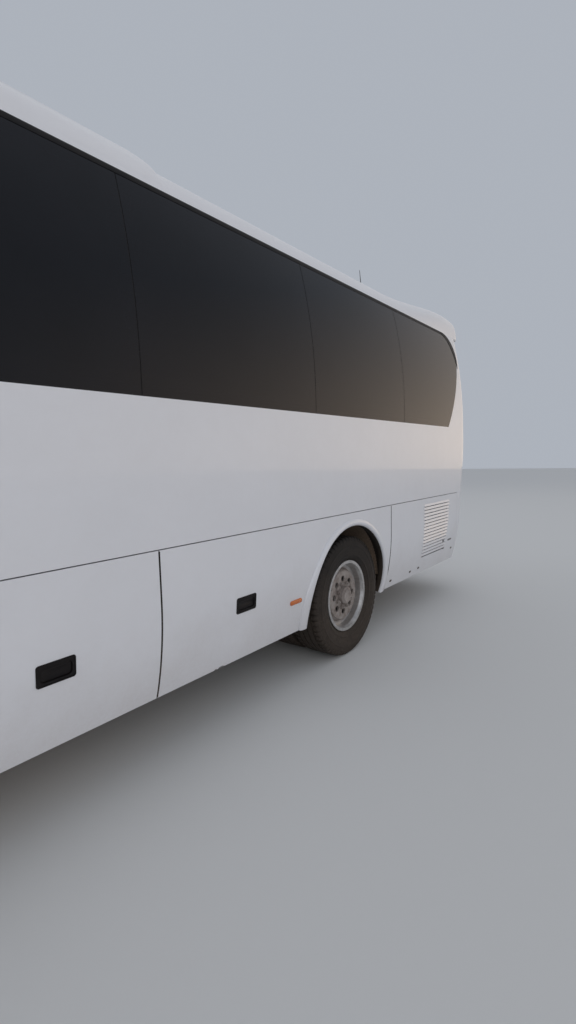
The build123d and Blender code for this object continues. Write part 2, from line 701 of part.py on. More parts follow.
# Knuckles and wheels
for name, side in sides.items():
    with BuildPart() as knuckle:
        for z in (375, 565):
            add(disc_z(front_axle_x, side * kingpin_y, 50, z, z + 40))
        y0 = side * (kingpin_y + 55)
        y1 = side * (kingpin_y + 75)
        add(disc_y(front_axle_x, wheel_z, 190, min(y0, y1), max(y0, y1)))
        y2 = side * kingpin_y
        add(block(front_axle_x - 40, front_axle_x + 40, min(y2, y1), max(y2, y1), 375, 415))
        add(block(front_axle_x - 40, front_axle_x + 40, min(y2, y1), max(y2, y1), 565, 605))
        add(block(front_axle_x - 260, front_axle_x, side * kingpin_y - 20, side * kingpin_y + 20, 375, 405))
    save(knuckle.part, "knuckle_" + name)

with BuildPart() as track_rod:
    add(disc_y(front_axle_x - 235, 350, 18, -kingpin_y, kingpin_y))
save(track_rod.part, "track_rod")


def turned(x, y, side, profile):
    """A ring turned about the axle line; the profile is (outboard of the wheel's middle, radius)."""
    heading = (1, 0, 0) if side > 0 else (-1, 0, 0)
    with BuildPart() as ring:
        with BuildSketch(Plane(origin=(x, y, wheel_z), x_dir=(0, side, 0), z_dir=heading)):
            with BuildLine():
                Polyline(*profile, close=True)
            make_face()
        revolve(axis=Axis((x, y, wheel_z), (0, 1, 0)))
    return ring.part


def tyre_solid(side, x, y):
    """A tyre: bead, bulged sidewall, shoulder and flat crown."""
    half = tyre_width / 2
    right = [(flange_width / 2, rim_radius), (flange_width / 2, flange_radius + 4), (half - 6, flange_radius + 48),
             (half, flange_radius + 105), (half - 5, tyre_radius - 42), (half - 24, tyre_radius - 6),
             (half - 50, tyre_radius)]
    return turned(x, y, side, right + [(-u, r) for u, r in reversed(right)])


hole_circle, hole_radius, hole_count = 140, 26, 8
disc_out, disc_in, disc_plate, disc_edge = 75, 44, 14, 205
drum_radius, hub_radius, cap_radius = 190, 115, 78


def rim_solid(side, x, y):
    """A rim: barrel with turned-up flanges, a dished disc with eight hand holes and a hub cap."""
    half = flange_width / 2
    lip = half + 12
    profile = [(-lip, flange_radius), (-half, flange_radius), (-half, rim_radius), (half, rim_radius),
               (half, flange_radius), (lip, flange_radius), (lip, flange_radius - 24), (half - 12, 264),
               (disc_in, 254), (disc_in, 228), (disc_out, disc_edge), (disc_out, 0), (disc_out - disc_plate, 0),
               (disc_out - disc_plate, disc_edge - 5), (disc_in - disc_plate, 222), (disc_in - disc_plate, 254),
               (12 - half, 264), (-lip, flange_radius - 24)]
    rim = turned(x, y, side, profile)
    holes = [Pos(x, y + side * 60, wheel_z) * Rot(0, 45 * i, 0) * Pos(hole_circle, 0, 0) * Rot(90, 0, 0)
             * Cylinder(hole_radius, 200, mode=Mode.PRIVATE) for i in range(hole_count)]
    cap = turned(x, y, side, [(disc_out - 5, 0), (disc_out - 5, cap_radius), (disc_out + 34, cap_radius - 4),
                              (disc_out + 42, cap_radius - 14), (disc_out + 42, 0)])
    return (rim - holes) + cap


def drum_solid(side, x, y0, y1, y2):
    """Brake drum from y0 to y1 and the narrower hub on to y2, as distances from the middle plane."""
    drum = disc_y(x, wheel_z, drum_radius, *sorted((side * y0, side * y1)))
    return drum + disc_y(x, wheel_z, hub_radius, *sorted((side * y1, side * y2)))


inner_wheel_y = outer_wheel_y - twin_spacing
for name, side in sides.items():
    save(tyre_solid(side, front_axle_x, side * outer_wheel_y), "front_tyre_" + name)
    hub = drum_solid(side, front_axle_x, 962, outer_wheel_y + 15, outer_wheel_y + disc_out - disc_plate + 2)
    save(rim_solid(side, front_axle_x, side * outer_wheel_y) + hub, "front_rim_" + name)
    twin = [tyre_solid(side, rear_axle_x, side * y) for y in (outer_wheel_y, inner_wheel_y)]
    with BuildPart() as tyres:
        add(twin)
    save(tyres.part, "rear_tyres_" + name)
    hub = drum_solid(side, rear_axle_x, backplate_y + 6, inner_wheel_y + 15,
                     outer_wheel_y + disc_out - disc_plate + 2)
    twin = [rim_solid(side, rear_axle_x, side * y) for y in (outer_wheel_y, inner_wheel_y)]
    save(twin[0] + hub + twin[1], "rear_rims_" + name)

# Seats in pairs on both sides of the aisle, a driver's seat, all on plain plinths
seat_pitch = 780
seat_rows = [-4280 + seat_pitch * i for i in range(10)]
seat_half = 420
seat_y = 700


def seat_piece(x, y, half, z, outline):
    """One piece of a seat: an outline seen from the side, carried across the seat's width."""
    with BuildPart() as piece:
        with BuildSketch(Plane.XZ.offset(-(y - half))):
            with BuildLine():
                Polyline(*[(x + forward, z + up) for forward, up in outline], close=True)
            make_face()
        extrude(amount=-2 * half)
    return piece.part


base_outline = [(60, 0), (340, 0), (350, 290), (470, 330), (490, 370), (480, 430), (440, 450), (60, 415)]
back_outline = [(-30, 300), (60, 300), (60, 430), (-85, 1020), (-112, 1130), (-150, 1160), (-190, 1145),
                (-185, 1100)]
places = [(x, side * seat_y, seat_half, floor_top) for x in seat_rows for side in sides.values()
          if side > 0 or x < 2500]
places.append((3500, 640, 240, cab_floor_top))
for node_name, outline in (("seats", base_outline), ("seat_backs", back_outline)):
    pieces = [seat_piece(*place, outline) for place in places]
    with BuildPart() as seats:
        add(pieces)
    save(seats.part, node_name)

# Dashboard with the steering column and wheel
dash_region = inner_shell & block(4280, 4900, -440, 1150, cab_floor_top, 1290)
wheel_place = Pos(4190, 640, 1430) * Rot(0, -35, 0)
rim_centre, rim_thick = 225, 16
with BuildPart() as steering_wheel:
    with BuildSketch(Plane.XZ):
        with Locations((rim_centre, 0)):
            RegularPolygon(rim_thick, 6)
    revolve(axis=Axis.Z)
    Box(2 * rim_centre, 40, rim_thick)
    Cylinder(35, 400, align=(Align.CENTER, Align.CENTER, Align.MAX))
with BuildPart() as dashboard:
    add(dash_region)
    add(wheel_place * steering_wheel.part)
save(dashboard.part, "dashboard")

# Mirrors: rounded housings hung from bent arms at the front roof corners
housing_x1 = front_face + mirror_reach
housing_depth, housing_width, housing_height, housing_z0 = 135, 250, 470, 2230
housing_y = 1245
arm_radius = 19
with BuildPart() as mirrors:
    for side in sides.values():
        housing_x = housing_x1 - housing_depth / 2
        arm_run = ((4300, side * 1040, 2860), (4900, side * 1120, 2880), (housing_x, side * housing_y, 2860),
                   (housing_x, side * housing_y, housing_z0 + housing_height - 30))
        with BuildLine():
            path = FilletPolyline(*arm_run, radius=[100, 60])
        with BuildSketch(Plane(origin=path @ 0, z_dir=path % 0)):
            Circle(arm_radius)
        sweep(path=path)
        with BuildSketch(Plane.XY.offset(housing_z0)):
            with Locations((housing_x, side * housing_y)):
                RectangleRounded(housing_depth, housing_width, 55)
        extrude(amount=housing_height)
    add(outer_shell, mode=Mode.SUBTRACT)
save(mirrors.part, "mirrors")
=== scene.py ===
import bpy
import bmesh
import numpy as np
from functools import partial
from math import radians, sin, cos, pi, sqrt
from mathutils import Matrix
from mathutils.bvhtree import BVHTree


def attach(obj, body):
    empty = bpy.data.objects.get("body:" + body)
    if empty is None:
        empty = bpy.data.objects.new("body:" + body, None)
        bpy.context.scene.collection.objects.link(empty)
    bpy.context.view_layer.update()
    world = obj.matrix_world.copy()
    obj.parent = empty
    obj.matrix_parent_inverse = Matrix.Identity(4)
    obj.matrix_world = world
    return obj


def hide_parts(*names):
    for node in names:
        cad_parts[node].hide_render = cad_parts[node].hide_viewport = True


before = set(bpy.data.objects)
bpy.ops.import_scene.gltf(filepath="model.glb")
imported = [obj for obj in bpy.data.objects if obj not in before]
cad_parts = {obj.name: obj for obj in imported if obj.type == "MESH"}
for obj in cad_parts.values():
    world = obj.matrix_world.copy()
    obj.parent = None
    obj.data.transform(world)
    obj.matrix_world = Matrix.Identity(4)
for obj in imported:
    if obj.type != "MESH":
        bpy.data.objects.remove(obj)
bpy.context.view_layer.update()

# Camera: stands beside the left flank ahead of the rear axle and looks back along the coach, at eye height,
# with a short lens, as in the photograph. The bearing is the angle of the view from straight rearwards.
rear_axle_x = -2.14
eye = (rear_axle_x + 3.591, 3.334, 1.665)
view_bearing, view_tilt, view_roll = radians(37.56), radians(-6.01), radians(-1.35)
lens_pixels, picture_height, sensor_height = 501.6, 1024, 36
sight = np.array([-cos(view_bearing) * cos(view_tilt), -sin(view_bearing) * cos(view_tilt), sin(view_tilt)])
level_right = np.array([-sin(view_bearing), cos(view_bearing), 0.0])
level_up = np.cross(level_right, sight)
view_right = level_right * cos(view_roll) + level_up * sin(view_roll)
view_up = -level_right * sin(view_roll) + level_up * cos(view_roll)


def put(name, data):
    """A new object in the scene that shows the data."""
    made = bpy.data.objects.new(name, data)
    bpy.context.collection.objects.link(made)
    return made


def facing(across, above, toward, place):
    """The matrix of a camera or lamp at a place, from the directions of its own axes."""
    return Matrix([(across[i], above[i], -toward[i], place[i]) for i in range(3)] + [(0, 0, 0, 1)])


view = bpy.data.cameras.new("camera")
view.lens = sensor_height * lens_pixels / picture_height
view.clip_end = 200
camera = put("camera", view)
camera.matrix_world = facing(view_right, view_up, sight, eye)
bpy.context.scene.camera = camera
bpy.context.scene.view_settings.view_transform = "Standard"


# Body paint: glossy white over steel and glass-fibre panels, with road dust blown up from the wheels and
# lying on the roof. The dust group is shared by every outside finish.
def feed(target, inputs):
    """Fill a node's inputs from a dict: a socket is linked, anything else is the value."""
    for key, value in inputs.items():
        if isinstance(value, bpy.types.NodeSocket):
            target.id_data.links.new(value, target.inputs[key])
        else:
            target.inputs[key].default_value = value


def node(tree, kind, inputs=None, **settings):
    """A shader node of the given kind with its attributes set and its inputs filled."""
    made = tree.nodes.new("ShaderNode" + kind)
    for key, value in settings.items():
        setattr(made, key, value)
    feed(made, inputs or {})
    return made


def new_material(name):
    """A new material, its node tree, its shader and the place on the object."""
    material = bpy.data.materials.new(name)
    material.use_nodes = True
    tree = material.node_tree
    return material, tree, tree.nodes["Principled BSDF"], node(tree, "TexCoord").outputs["Object"]


def split(vector):
    """The coordinates of a vector socket, by name."""
    return node(vector.id_data, "SeparateXYZ", {0: vector}).outputs


def noise(place, scale, detail=4.0, rough=0.6):
    """Noise at the given place."""
    inputs = {"Vector": place, "Scale": scale, "Detail": detail, "Roughness": rough}
    return node(place.id_data, "TexNoise", inputs).outputs["Fac"]


def ramp(value, low, high, out_low=0.0, out_high=1.0):
    """Linear map of a value from one range to another, clamped."""
    inputs = {"Value": value, "From Min": low, "From Max": high, "To Min": out_low, "To Max": out_high}
    return node(value.id_data, "MapRange", inputs).outputs["Result"]


def shift(place, scale, detail=4.0, rough=0.6, low=0.3, high=0.7, ends=(0.0, 1.0)):
    """Noise mapped from the range low to high onto the range between two ends."""
    return ramp(noise(place, scale, detail, rough), low, high, *ends)


def math(operation, a, b=0.0):
    """One arithmetic node on two inputs, each a socket or a number."""
    socket = b if isinstance(b, bpy.types.NodeSocket) else a
    return node(socket.id_data, "Math", {0: a, 1: b}, operation=operation).outputs[0]


def squares(a, b):
    """The sum of two squares."""
    return math("ADD", math("MULTIPLY", a, a), math("MULTIPLY", b, b))


def mix(factor, a, b):
    """Blend of two colours by a factor socket."""
    return node(factor.id_data, "Mix", {0: factor, 6: a, 7: b}, data_type="RGBA").outputs[2]


def bumps(height, strength):
    """Normals tilted by a height socket, up to 2 mm deep."""
    inputs = {"Height": height, "Strength": strength, "Distance": 0.002}
    return node(height.id_data, "Bump", inputs).outputs[0]


dust = bpy.data.node_groups.new("road_dust", "ShaderNodeTree")
for name, in_out, kind in (("Finish", "INPUT", "Color"), ("Rough", "INPUT", "Float"),
                           ("Reach", "INPUT", "Float"), ("Amount", "INPUT", "Float"),
                           ("Color", "OUTPUT", "Color"), ("Roughness", "OUTPUT", "Float")):
    dust.interface.new_socket(name, in_out=in_out, socket_type="NodeSocket" + kind)
given = dust.nodes.new("NodeGroupInput").outputs
place = node(dust, "TexCoord").outputs["Object"]
above_ground = split(place)["Z"]
cloud = noise(place, 3.0, 8.0, 0.65)
speck = noise(place, 60.0, 3.0, 0.7)
height = math("ADD", above_ground, math("MULTIPLY", math("SUBTRACT", cloud, 0.5), -0.9))
low = ramp(math("DIVIDE", height, given["Reach"]), 0.25, 1.0, 1.0, 0.0)
veil = math("MULTIPLY", low, ramp(speck, 0.25, 0.65, 0.45, 1.0))
cover = math("MULTIPLY", veil, given["Amount"])
patch = shift(place, 9.0, 6.0, 0.7, 0.35, 0.75, (0.0, 0.035))
mask = node(dust, "Clamp", {0: math("ADD", cover, patch)}).outputs[0]
earth = mix(speck, (0.20, 0.135, 0.09, 1), (0.36, 0.27, 0.20, 1))
dulled = node(dust, "Mix", {0: mask, 2: given["Rough"], 3: 0.85}, data_type="FLOAT").outputs[0]
feed(dust.nodes.new("NodeGroupOutput"), {"Color": mix(mask, given["Finish"], earth), "Roughness": dulled})


def dusty(name, color, rough, reach, amount, coat=0.0, specular=0.5, grain=0.0, grain_scale=300.0,
          variation=0.04, scars=()):
    """A finish with slight colour variation, fine grain bump and road dust up to the given reach in metres.
    Scars are marks rubbed through the paint, as rows of (x, z, half length, half height)."""
    material, tree, shader, place = new_material(name)
    tone = shift(place, 2.2, 5.0, ends=(1.0 - variation, 1.0 + variation))
    base = node(tree, "VectorMath", {0: color, "Scale": tone}, operation="SCALE").outputs[0]
    inputs = {"Finish": base, "Rough": rough, "Reach": reach, "Amount": amount}
    color_out, rough_out = node(tree, "Group", inputs, node_tree=dust).outputs
    if scars:
        here = split(place)
        ragged = shift(place, 90.0, 6.0, 0.8, 0.2, 0.8, (0.55, 1.6))
        worn = 0.0
        for x, z, length, rise in scars:
            aside = math("DIVIDE", math("SUBTRACT", here["X"], x), length)
            above = math("DIVIDE", math("SUBTRACT", here["Z"], z), rise)
            away = math("MULTIPLY", squares(aside, above), ragged)
            spot = ramp(away, 0.6, 1.1, 0.85, 0.0)
            worn = math("MAXIMUM", worn, spot)
        color_out = mix(worn, color_out, (0.035, 0.028, 0.024, 1))
        rough_out = math("MAXIMUM", rough_out, worn)
    feed(shader, {"Base Color": color_out, "Roughness": rough_out, "Specular IOR Level": specular,
                  "Coat Weight": coat, "Coat Roughness": 0.04})
    if grain:
        feed(shader, {"Normal": bumps(noise(place, grain_scale, 2.0), grain)})
    return material


def dress(material, *names):
    """Give CAD nodes a material on every slot."""
    for name in names:
        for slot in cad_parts[name].material_slots:
            slot.material = material


sides = ((1, "left"), (-1, "right"))
flaps = ("engine_side_door_", "arch_door_", "luggage_door_rear_", "luggage_door_front_")
paint = dict(color=(0.74, 0.74, 0.77), rough=0.28, reach=0.85, amount=0.22, coat=0.5, grain=0.02,
             grain_scale=900.0, variation=0.015)
body_white = dusty("body_white", **paint)
dress(body_white, "cab_shell", "front_bumper", "front_wings", "passenger_door", "rear_bumper",
      "rear_engine_door", "rear_fairing", "rear_shell", "roof_panel", "roof_pod", "roof_hatches",
      "side_wall_left", "side_wall_right", *[flap + hand for flap in flaps for side, hand in sides])
engine_door_scars = ((-4.457, .662, .080, .014), (-4.249, .672, .035, .014), (-4.293, .579, .032, .014))
arch_door_scars = ((-.648, .396, .030, .009), (-.600, .396, .012, .006))
dress(dusty("engine_door_paint", scars=engine_door_scars, **paint), "engine_side_door_left")
dress(dusty("arch_door_paint", scars=arch_door_scars, **paint), "arch_door_left")


# Tinted glass: panes of dark toughened glass, bonded flush with the wall, with a thin film of dust of their
# own. Lenses, chrome and plates share this kind of finish.
def mottled(name, tones, grain, shines, film, **inputs):
    """A finish that shifts between two colours by one noise, grain, and between two roughnesses by another,
    film, each given as the first numbers that shift takes."""
    material, tree, shader, place = new_material(name)
    first, second = (tone + (1,) for tone in tones)
    feed(shader, {"Base Color": mix(shift(place, *grain), first, second),
                  "Roughness": shift(place, *film, ends=shines),
                  **{key.replace("_", " "): value for key, value in inputs.items()}})
    return material


tinted_glass = mottled("tinted_glass", ((0.0040, 0.0045, 0.0075), (0.0075, 0.008, 0.012)),
                       (1.3,), (0.03, 0.13), (7.0, 8.0, 0.7, 0.3, 0.8),
                       IOR=1.5, Transmission_Weight=0.25, Specular_IOR_Level=0.20)
dress(tinted_glass, "side_glass_left", "side_glass_right", "end_windows", "door_glass")

# Chassis: welded steel rails, axles, tank and exhaust in dull black paint under a coat of dried mud, and the
# felt and matting that line the arches, the luggage bays, the floor and the steps.
chassis_black = dusty("chassis_black", (0.03, 0.03, 0.032), 0.6, 1.6, 0.9, grain=0.4, grain_scale=120.0)
dress(chassis_black, "underframe", "front_frame", "cross_members", "tow_sockets", "fuel_tank", "exhaust",
      "front_axle", "rear_axle", "track_rod", "knuckle_left", "knuckle_right", "engine_block")
liner_felt = dusty("liner_felt", (0.10, 0.075, 0.055), 0.9, 2.2, 0.9, grain=0.6, grain_scale=80.0)
dress(liner_felt, "arch_liners", "luggage_bays", "bay_bulkheads", "saloon_floor", "entry_steps")

# Cloth and plastic: the seats are covered in woven dark blue cloth, and the dashboard and the mirror housings
# are moulded in grained black plastic.
seat_cloth = dusty("seat_cloth", (0.05, 0.06, 0.12), 0.9, 0.1, 0.0, grain=0.5, grain_scale=400.0,
                   variation=0.2)
dress(seat_cloth, "seats", "seat_backs")
black_plastic = dusty("black_plastic", (0.018, 0.018, 0.02), 0.45, 0.9, 0.3, grain=0.15, grain_scale=500.0)
dress(black_plastic, "dashboard", "mirrors")

# Lamps: moulded lenses with fine ribs, bonded into both ends of the coach. The tail lamps are clear at the
# foot, red in the middle and amber at the top; the headlamps are smoked.
red_foot, amber_foot, edge = 1.054, 1.336, .002
lamp_lens, tree, shader, place = new_material("lamp_lens")
here = split(place)
low_red = mix(ramp(here["Z"], red_foot - edge, red_foot + edge), (0.30, 0.30, 0.31, 1),
              (0.23, 0.008, 0.006, 1))
tail = mix(ramp(here["Z"], amber_foot - edge, amber_foot + edge), low_red, (0.50, 0.11, 0.010, 1))
ribs = node(tree, "TexWave", {"Vector": place, "Scale": 16.0}, bands_direction="Z")
feed(shader, {"Base Color": mix(ramp(here["X"], -0.1, 0.1), tail, (0.10, 0.105, 0.115, 1)),
              "Roughness": shift(place, 20.0, ends=(0.08, 0.2)),
              "Normal": bumps(ribs.outputs["Fac"], 0.25), "Coat Weight": 1.0})
dress(lamp_lens, "lamps")


# Arch lips: rounded mouldings of white glass fibre pressed over the edges of the four wheel arches. Like
# every added piece they are closed loops of points laid one after another.
def solid(name, parts, material, body, slot=None, angle=38):
    """One mesh from parts, each an array of closed loops of points (loops, points, 3) joined loop to loop,
    with a flat cap at each end, or a pair (array, True), where the last loop is joined to the first."""
    places, faces, first = [], [], 0
    for part in parts:
        sections, looped = part if isinstance(part, tuple) else (part, False)
        sections = np.asarray(sections, float)
        count, around = sections.shape[:2]
        index = first + np.arange(count * around).reshape(count, around)
        rows = np.arange(count if looped else count - 1)
        ahead = index[(rows + 1) % count]
        here = index[rows]
        quads = np.stack([here, np.roll(here, -1, 1), np.roll(ahead, -1, 1), ahead], -1).reshape(-1, 4)
        faces += quads.tolist()
        if not looped:
            faces += [index[0][::-1].tolist(), index[-1].tolist()]
        places.append(sections.reshape(-1, 3))
        first += count * around
    mesh = bpy.data.meshes.new(name)
    mesh.from_pydata(np.concatenate(places).tolist(), [], faces)
    shell = bmesh.new()
    shell.from_mesh(mesh)
    bmesh.ops.recalc_face_normals(shell, faces=shell.faces)
    shell.to_mesh(mesh)
    shell.free()
    mesh.polygons.foreach_set("use_smooth", [True] * len(mesh.polygons))
    mesh.set_sharp_from_angle(angle=radians(angle))
    mesh.materials.append(material)
    made = put(name, mesh)
    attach(made, body)
    return made


half_width = 1.25
side_foot, side_top = 0.95, 2.10
tuck_radius, lean_radius, lean_angle = 1.95, 3.82, radians(14.25)
lean_top, lean_slope = 3.0403, 0.254


def points(x, y, z):
    """Points from three numbers or arrays, each as wide as the widest."""
    return np.stack(np.broadcast_arrays(x, y, z), -1)


def flank(x, z, out, side):
    """Points on the side of the body at given x and z, moved outwards: flat from side foot to side top, an
    arc tucked in below, an arc leaning in above, and straight on from the lean's top."""
    low = np.arcsin(np.clip((side_foot - z) / tuck_radius, 0, 1))
    high = np.arcsin(np.clip((z - side_top) / lean_radius, 0, sin(lean_angle)))
    y = (half_width - tuck_radius * (1 - np.cos(low)) - lean_radius * (1 - np.cos(high))
         - np.clip(z - lean_top, 0, None) * lean_slope)
    return points(x, side * (y + out * np.cos(low + high)), z + out * (np.sin(high) - np.sin(low)))


def shape(rows):
    """Array from a list of rows."""
    return np.array(rows, float)


front_axle_x, axle_z, arch_radius = 2.66, 0.505, 0.600
arches = [(place, axle, side, hand, "arch_door_" + hand if place == "rear" else "coach")
          for place, axle in (("rear", rear_axle_x), ("front", front_axle_x)) for side, hand in sides]
arch_turn = np.radians(np.linspace(-10.4, 190.4, 97))[:, None]
lip_crest = .0215


def arch_band(axle, side, profile, foot, spread=0.0):
    """Loops round a wheel arch from rows of (distance outside the arch, distance out of the flank), cut level
    at the foot. Spread moves what lies outside the lip's crest further out."""
    beyond, out = shape(profile).T[:, None]
    reach = arch_radius + beyond + spread * np.clip(beyond / lip_crest - 1, 0, 1)
    height = np.maximum(axle_z + reach * np.sin(arch_turn), foot)
    return flank(axle + reach * np.cos(arch_turn), height, out, side)


lip_profile = [(.0010, -.030), (.0008, .0060), (.0040, .0125), (.0110, .0185), (.0220, lip_crest),
               (.0330, .0196), (.0430, .0148), (.0500, .0085), (.0545, .0018), (.0545, -.030)]
low_down = np.clip((np.abs(arch_turn - pi / 2) - 0.9) / 0.7, 0, 1)
for place, axle, side, hand, body in arches:
    spread = (.040 if place == "rear" else .008) * low_down ** 2 * (3 - 2 * low_down)
    solid(place + "_arch_lip_" + hand, [arch_band(axle, side, lip_profile, 0.3965, spread)],
          body_white, body, "body_paint")

# Arch rubber: a black band laid along the inner edge of each arch, a gaiter that closes the gap between
# liner and side panel, and a short mud flap hung from the rear foot of each liner.
arch_rubber = dusty("arch_rubber", (0.013, 0.011, 0.010), 0.75, 1.1, 0.18, specular=0.25, grain=0.3,
                    grain_scale=200.0)
edge_profile = [(.0020, -.0440), (-.0050, -.0440), (-.0065, -.0400), (-.0050, -.0050), (-.0030, -.0010),
                (.0020, -.0020)]
inner, near, far = 1.146, .630, .638
flap_edge, flap_thick, flap_outer = .6400, .006, 1.148
turn = np.radians(np.linspace(5.2, 174.8, 65))
for place, axle, side, hand, body in arches:
    panel_depth, flap_inner = (.044, .566) if place == "rear" else (.049, .548)
    solid(place + "_arch_edging_" + hand, [arch_band(axle, side, edge_profile, 0.3970)],
          arch_rubber, body, "black_plastic")
    outer = flank(0, axle_z + (near + .006) * np.sin(turn), -panel_depth, 1)[:, 1]
    gaiter = np.stack([points(axle + r * np.cos(turn), side * y, axle_z + r * np.sin(turn))
                       for r, y in ((near, inner), (near, outer), (far, outer), (far, inner))], 1)
    solid(place + "_arch_gaiter_" + hand, [gaiter], arch_rubber, "coach", "black_plastic")
    behind = axle - flap_edge + np.array([0, 0, flap_thick, flap_thick])
    across = side * np.array([flap_inner, flap_outer, flap_outer, flap_inner])
    hung = [points(behind, across, z) for z in (.402, .404, .500, .575, .578)]
    solid(place + "_mud_flap_" + hand, [hung], arch_rubber, "coach", "black_plastic")

# Trim above the glass: a black rubber band between glass and gutter that runs round the raked rear end of the
# glass and fades out, bonded to the wall, and narrow rubber seals sunk between the panes.
trim_black = dusty("trim_black", (0.006, 0.006, 0.007), 0.5, 0.4, 0.1, specular=0.2, variation=0.1)


def smooth_path(rows, steps):
    """Rows of numbers joined by Catmull-Rom spans, with the given steps in each."""
    rows = shape(rows)
    rows = np.concatenate([[2 * rows[0] - rows[1]], rows, [2 * rows[-1] - rows[-2]]])
    t = np.linspace(0, 1, steps, endpoint=False)[:, None]
    spans = [0.5 * (2 * b + (c - a) * t + (2 * a - 5 * b + 4 * c - d) * t ** 2
                    + (3 * b - a - 3 * c + d) * t ** 3)
             for a, b, c, d in zip(rows[:-3], rows[1:-2], rows[2:-1], rows[3:])]
    return np.concatenate(spans + [rows[-2:-1]])


def trim(name, parts, body="coach"):
    """A piece of black trim."""
    solid(name, parts, trim_black, body, "black_plastic")


def unit(vectors):
    """Vectors divided by their lengths."""
    return vectors / np.linalg.norm(vectors, axis=-1, keepdims=True)


def strip(path, low, high, side):
    """Loops of a crowned strip on the flank along rows of (x, z, half width), between two heights off it."""
    path = shape(path)
    along = unit(np.gradient(path[:, :2], axis=0))
    across = np.stack([-along[:, 1], along[:, 0]], -1) * path[:, 2:3]
    marks = [(-1, low), (-1, high - 0.0008), (-0.85, high), (0.85, high), (1, high - 0.0008), (1, low)]
    return np.stack([flank(path[:, 0] + across[:, 0] * w, path[:, 1] + across[:, 1] * w, out, side)
                     for w, out in marks], 1)


band_z, band_half = 3.0745, .0145
band_start = {1: 4.004, -1: 3.378}
band_rows = [(x, band_z, band_half) for x in (2.0, -2.0, -4.20)]
band_rows += [(-4.42, 3.0720, .0170), (-4.52, 3.0540, .0250), (-4.60, 3.0150, .0350), (-4.664, 2.9570, .0420),
              (-4.710, 2.8880, .0390), (-4.738, 2.8060, .0270), (-4.746, 2.7400, .0120),
              (-4.743, 2.7000, .0020)]
first_seam_x, window_pitch, seal_half = rear_axle_x - 0.998, 1.515, 0.0027
rise = np.linspace(1.994, 3.056, 24)
for side, hand in sides:
    band_path = smooth_path([(band_start[side], band_z, band_half)] + band_rows, 8)
    trim("glass_trim_" + hand, [strip(band_path, -0.004, 0.0028, side)])
    seals = [strip(points(first_seam_x + window_pitch * i, rise, seal_half), -0.009, -0.0012, side)
             for i in range(5)]
    trim("pane_seals_" + hand, seals)

# Flap handles: black plastic bezels let into the flaps, each with a flat paddle that nearly fills its recess.
# The bezel stands 4 mm proud and laps over the edge of the recess.
handle_plastic = dusty("handle_plastic", (0.005, 0.004, 0.005), 0.42, 0.6, 0.04, specular=0.2, variation=0.1)


def rounded(width, height, radius, corner=6):
    """Points round a rectangle with round corners, centred on zero."""
    turn = np.radians(np.linspace(0, 90, corner))
    dots = []
    for quarter, (sx, sz) in enumerate(((1, 1), (-1, 1), (-1, -1), (1, -1))):
        angle = turn + quarter * pi / 2
        dots.append(np.stack([sx * (width / 2 - radius) + radius * np.cos(angle),
                              sz * (height / 2 - radius) + radius * np.sin(angle)], -1))
    return np.concatenate(dots)


def on_flank(x, z, rings, side):
    """Loops of rounded rectangles from rows of (width, height, corner radius, distance outwards), all
    parallel to the plane that touches the flank at x, z."""
    centre = flank(x, z, 0, side)
    up = unit(flank(x, z + 0.01, 0, side) - centre)
    normal = flank(x, z, 1, side) - centre
    loops = []
    for width, height, radius, out in rings:
        dots = rounded(width, height, radius)
        loops.append(centre + dots[:, :1] * np.array([1, 0, 0]) + dots[:, 1:] * up + out * normal)
    return loops


handle_z, grip_rise = 0.770, .006
bezel_rings = [(.147, .067, .020, -.020), (.147, .067, .020, .0018), (.169, .089, .009, .0022),
               (.170, .090, .009, .0042), (.178, .100, .012, .0042), (.181, .103, .013, .0025),
               (.181, .103, .013, -.002)]
paddle_rings = [(.1476, .0676, .0203, -.021), (.1476, .0676, .0203, -.0045), (.140, .060, .0165, -.0030)]
grip_rings = [(.120, .030, .009, -.0036), (.112, .024, .009, -.0060)]
for flap, x in zip(flaps[1:], (rear_axle_x + 1.320, rear_axle_x + 2.550, rear_axle_x + 3.690)):
    for side, hand in sides:
        bezel = on_flank(x, handle_z, bezel_rings, side)
        paddle = on_flank(x, handle_z, paddle_rings, side)
        paddle += on_flank(x, handle_z + grip_rise, grip_rings, side)
        solid("handle_" + flap + hand, [(bezel, True), paddle], handle_plastic, flap + hand, "black_plastic")

# Flap seals: lips of black extruded rubber, clipped over the front edge of each flap. They move with the flap
# and fill its gap to the next panel.
seal_profile = shape([(-.0034, -.036), (-.0034, .0001), (-.0076, .0001), (-.0076, .0007), (.0010, .0004),
                      (.0010, -.036)])
rise = np.linspace(.398, 1.208, 28)[:, None]
for flap, x in zip(flaps, (-2.846, -.160, .980, 1.990)):
    for side, hand in sides:
        lip = flank(x + seal_profile[None, :, 0], rise, seal_profile[None, :, 1], side)
        solid("flap_seal_" + flap + hand, [lip], arch_rubber, flap + hand, "black_plastic")

# Side markers: long amber lenses moulded in plastic with a domed face, screwed low down to the arch door and
# to the front wing of each side.
marker_amber = mottled("marker_amber", ((0.52, 0.115, 0.012), (0.62, 0.16, 0.02)), (60.0,),
                       (0.15, 0.3), (30.0,), Coat_Weight=0.6)
marker_z = 0.648
marker_rings = [(.130, .032, .010, -.002), (.130, .032, .010, .008), (.122, .025, .009, .0125),
                (.100, .012, .005, .0140)]
for flap, x in (("arch_door_", rear_axle_x + 0.785), (None, 3.300)):
    for side, hand in sides:
        body = flap + hand if flap else "coach"
        solid("side_marker_" + body + "_" + hand, [on_flank(x, marker_z, marker_rings, side)],
              marker_amber, body, "lamp_lens")

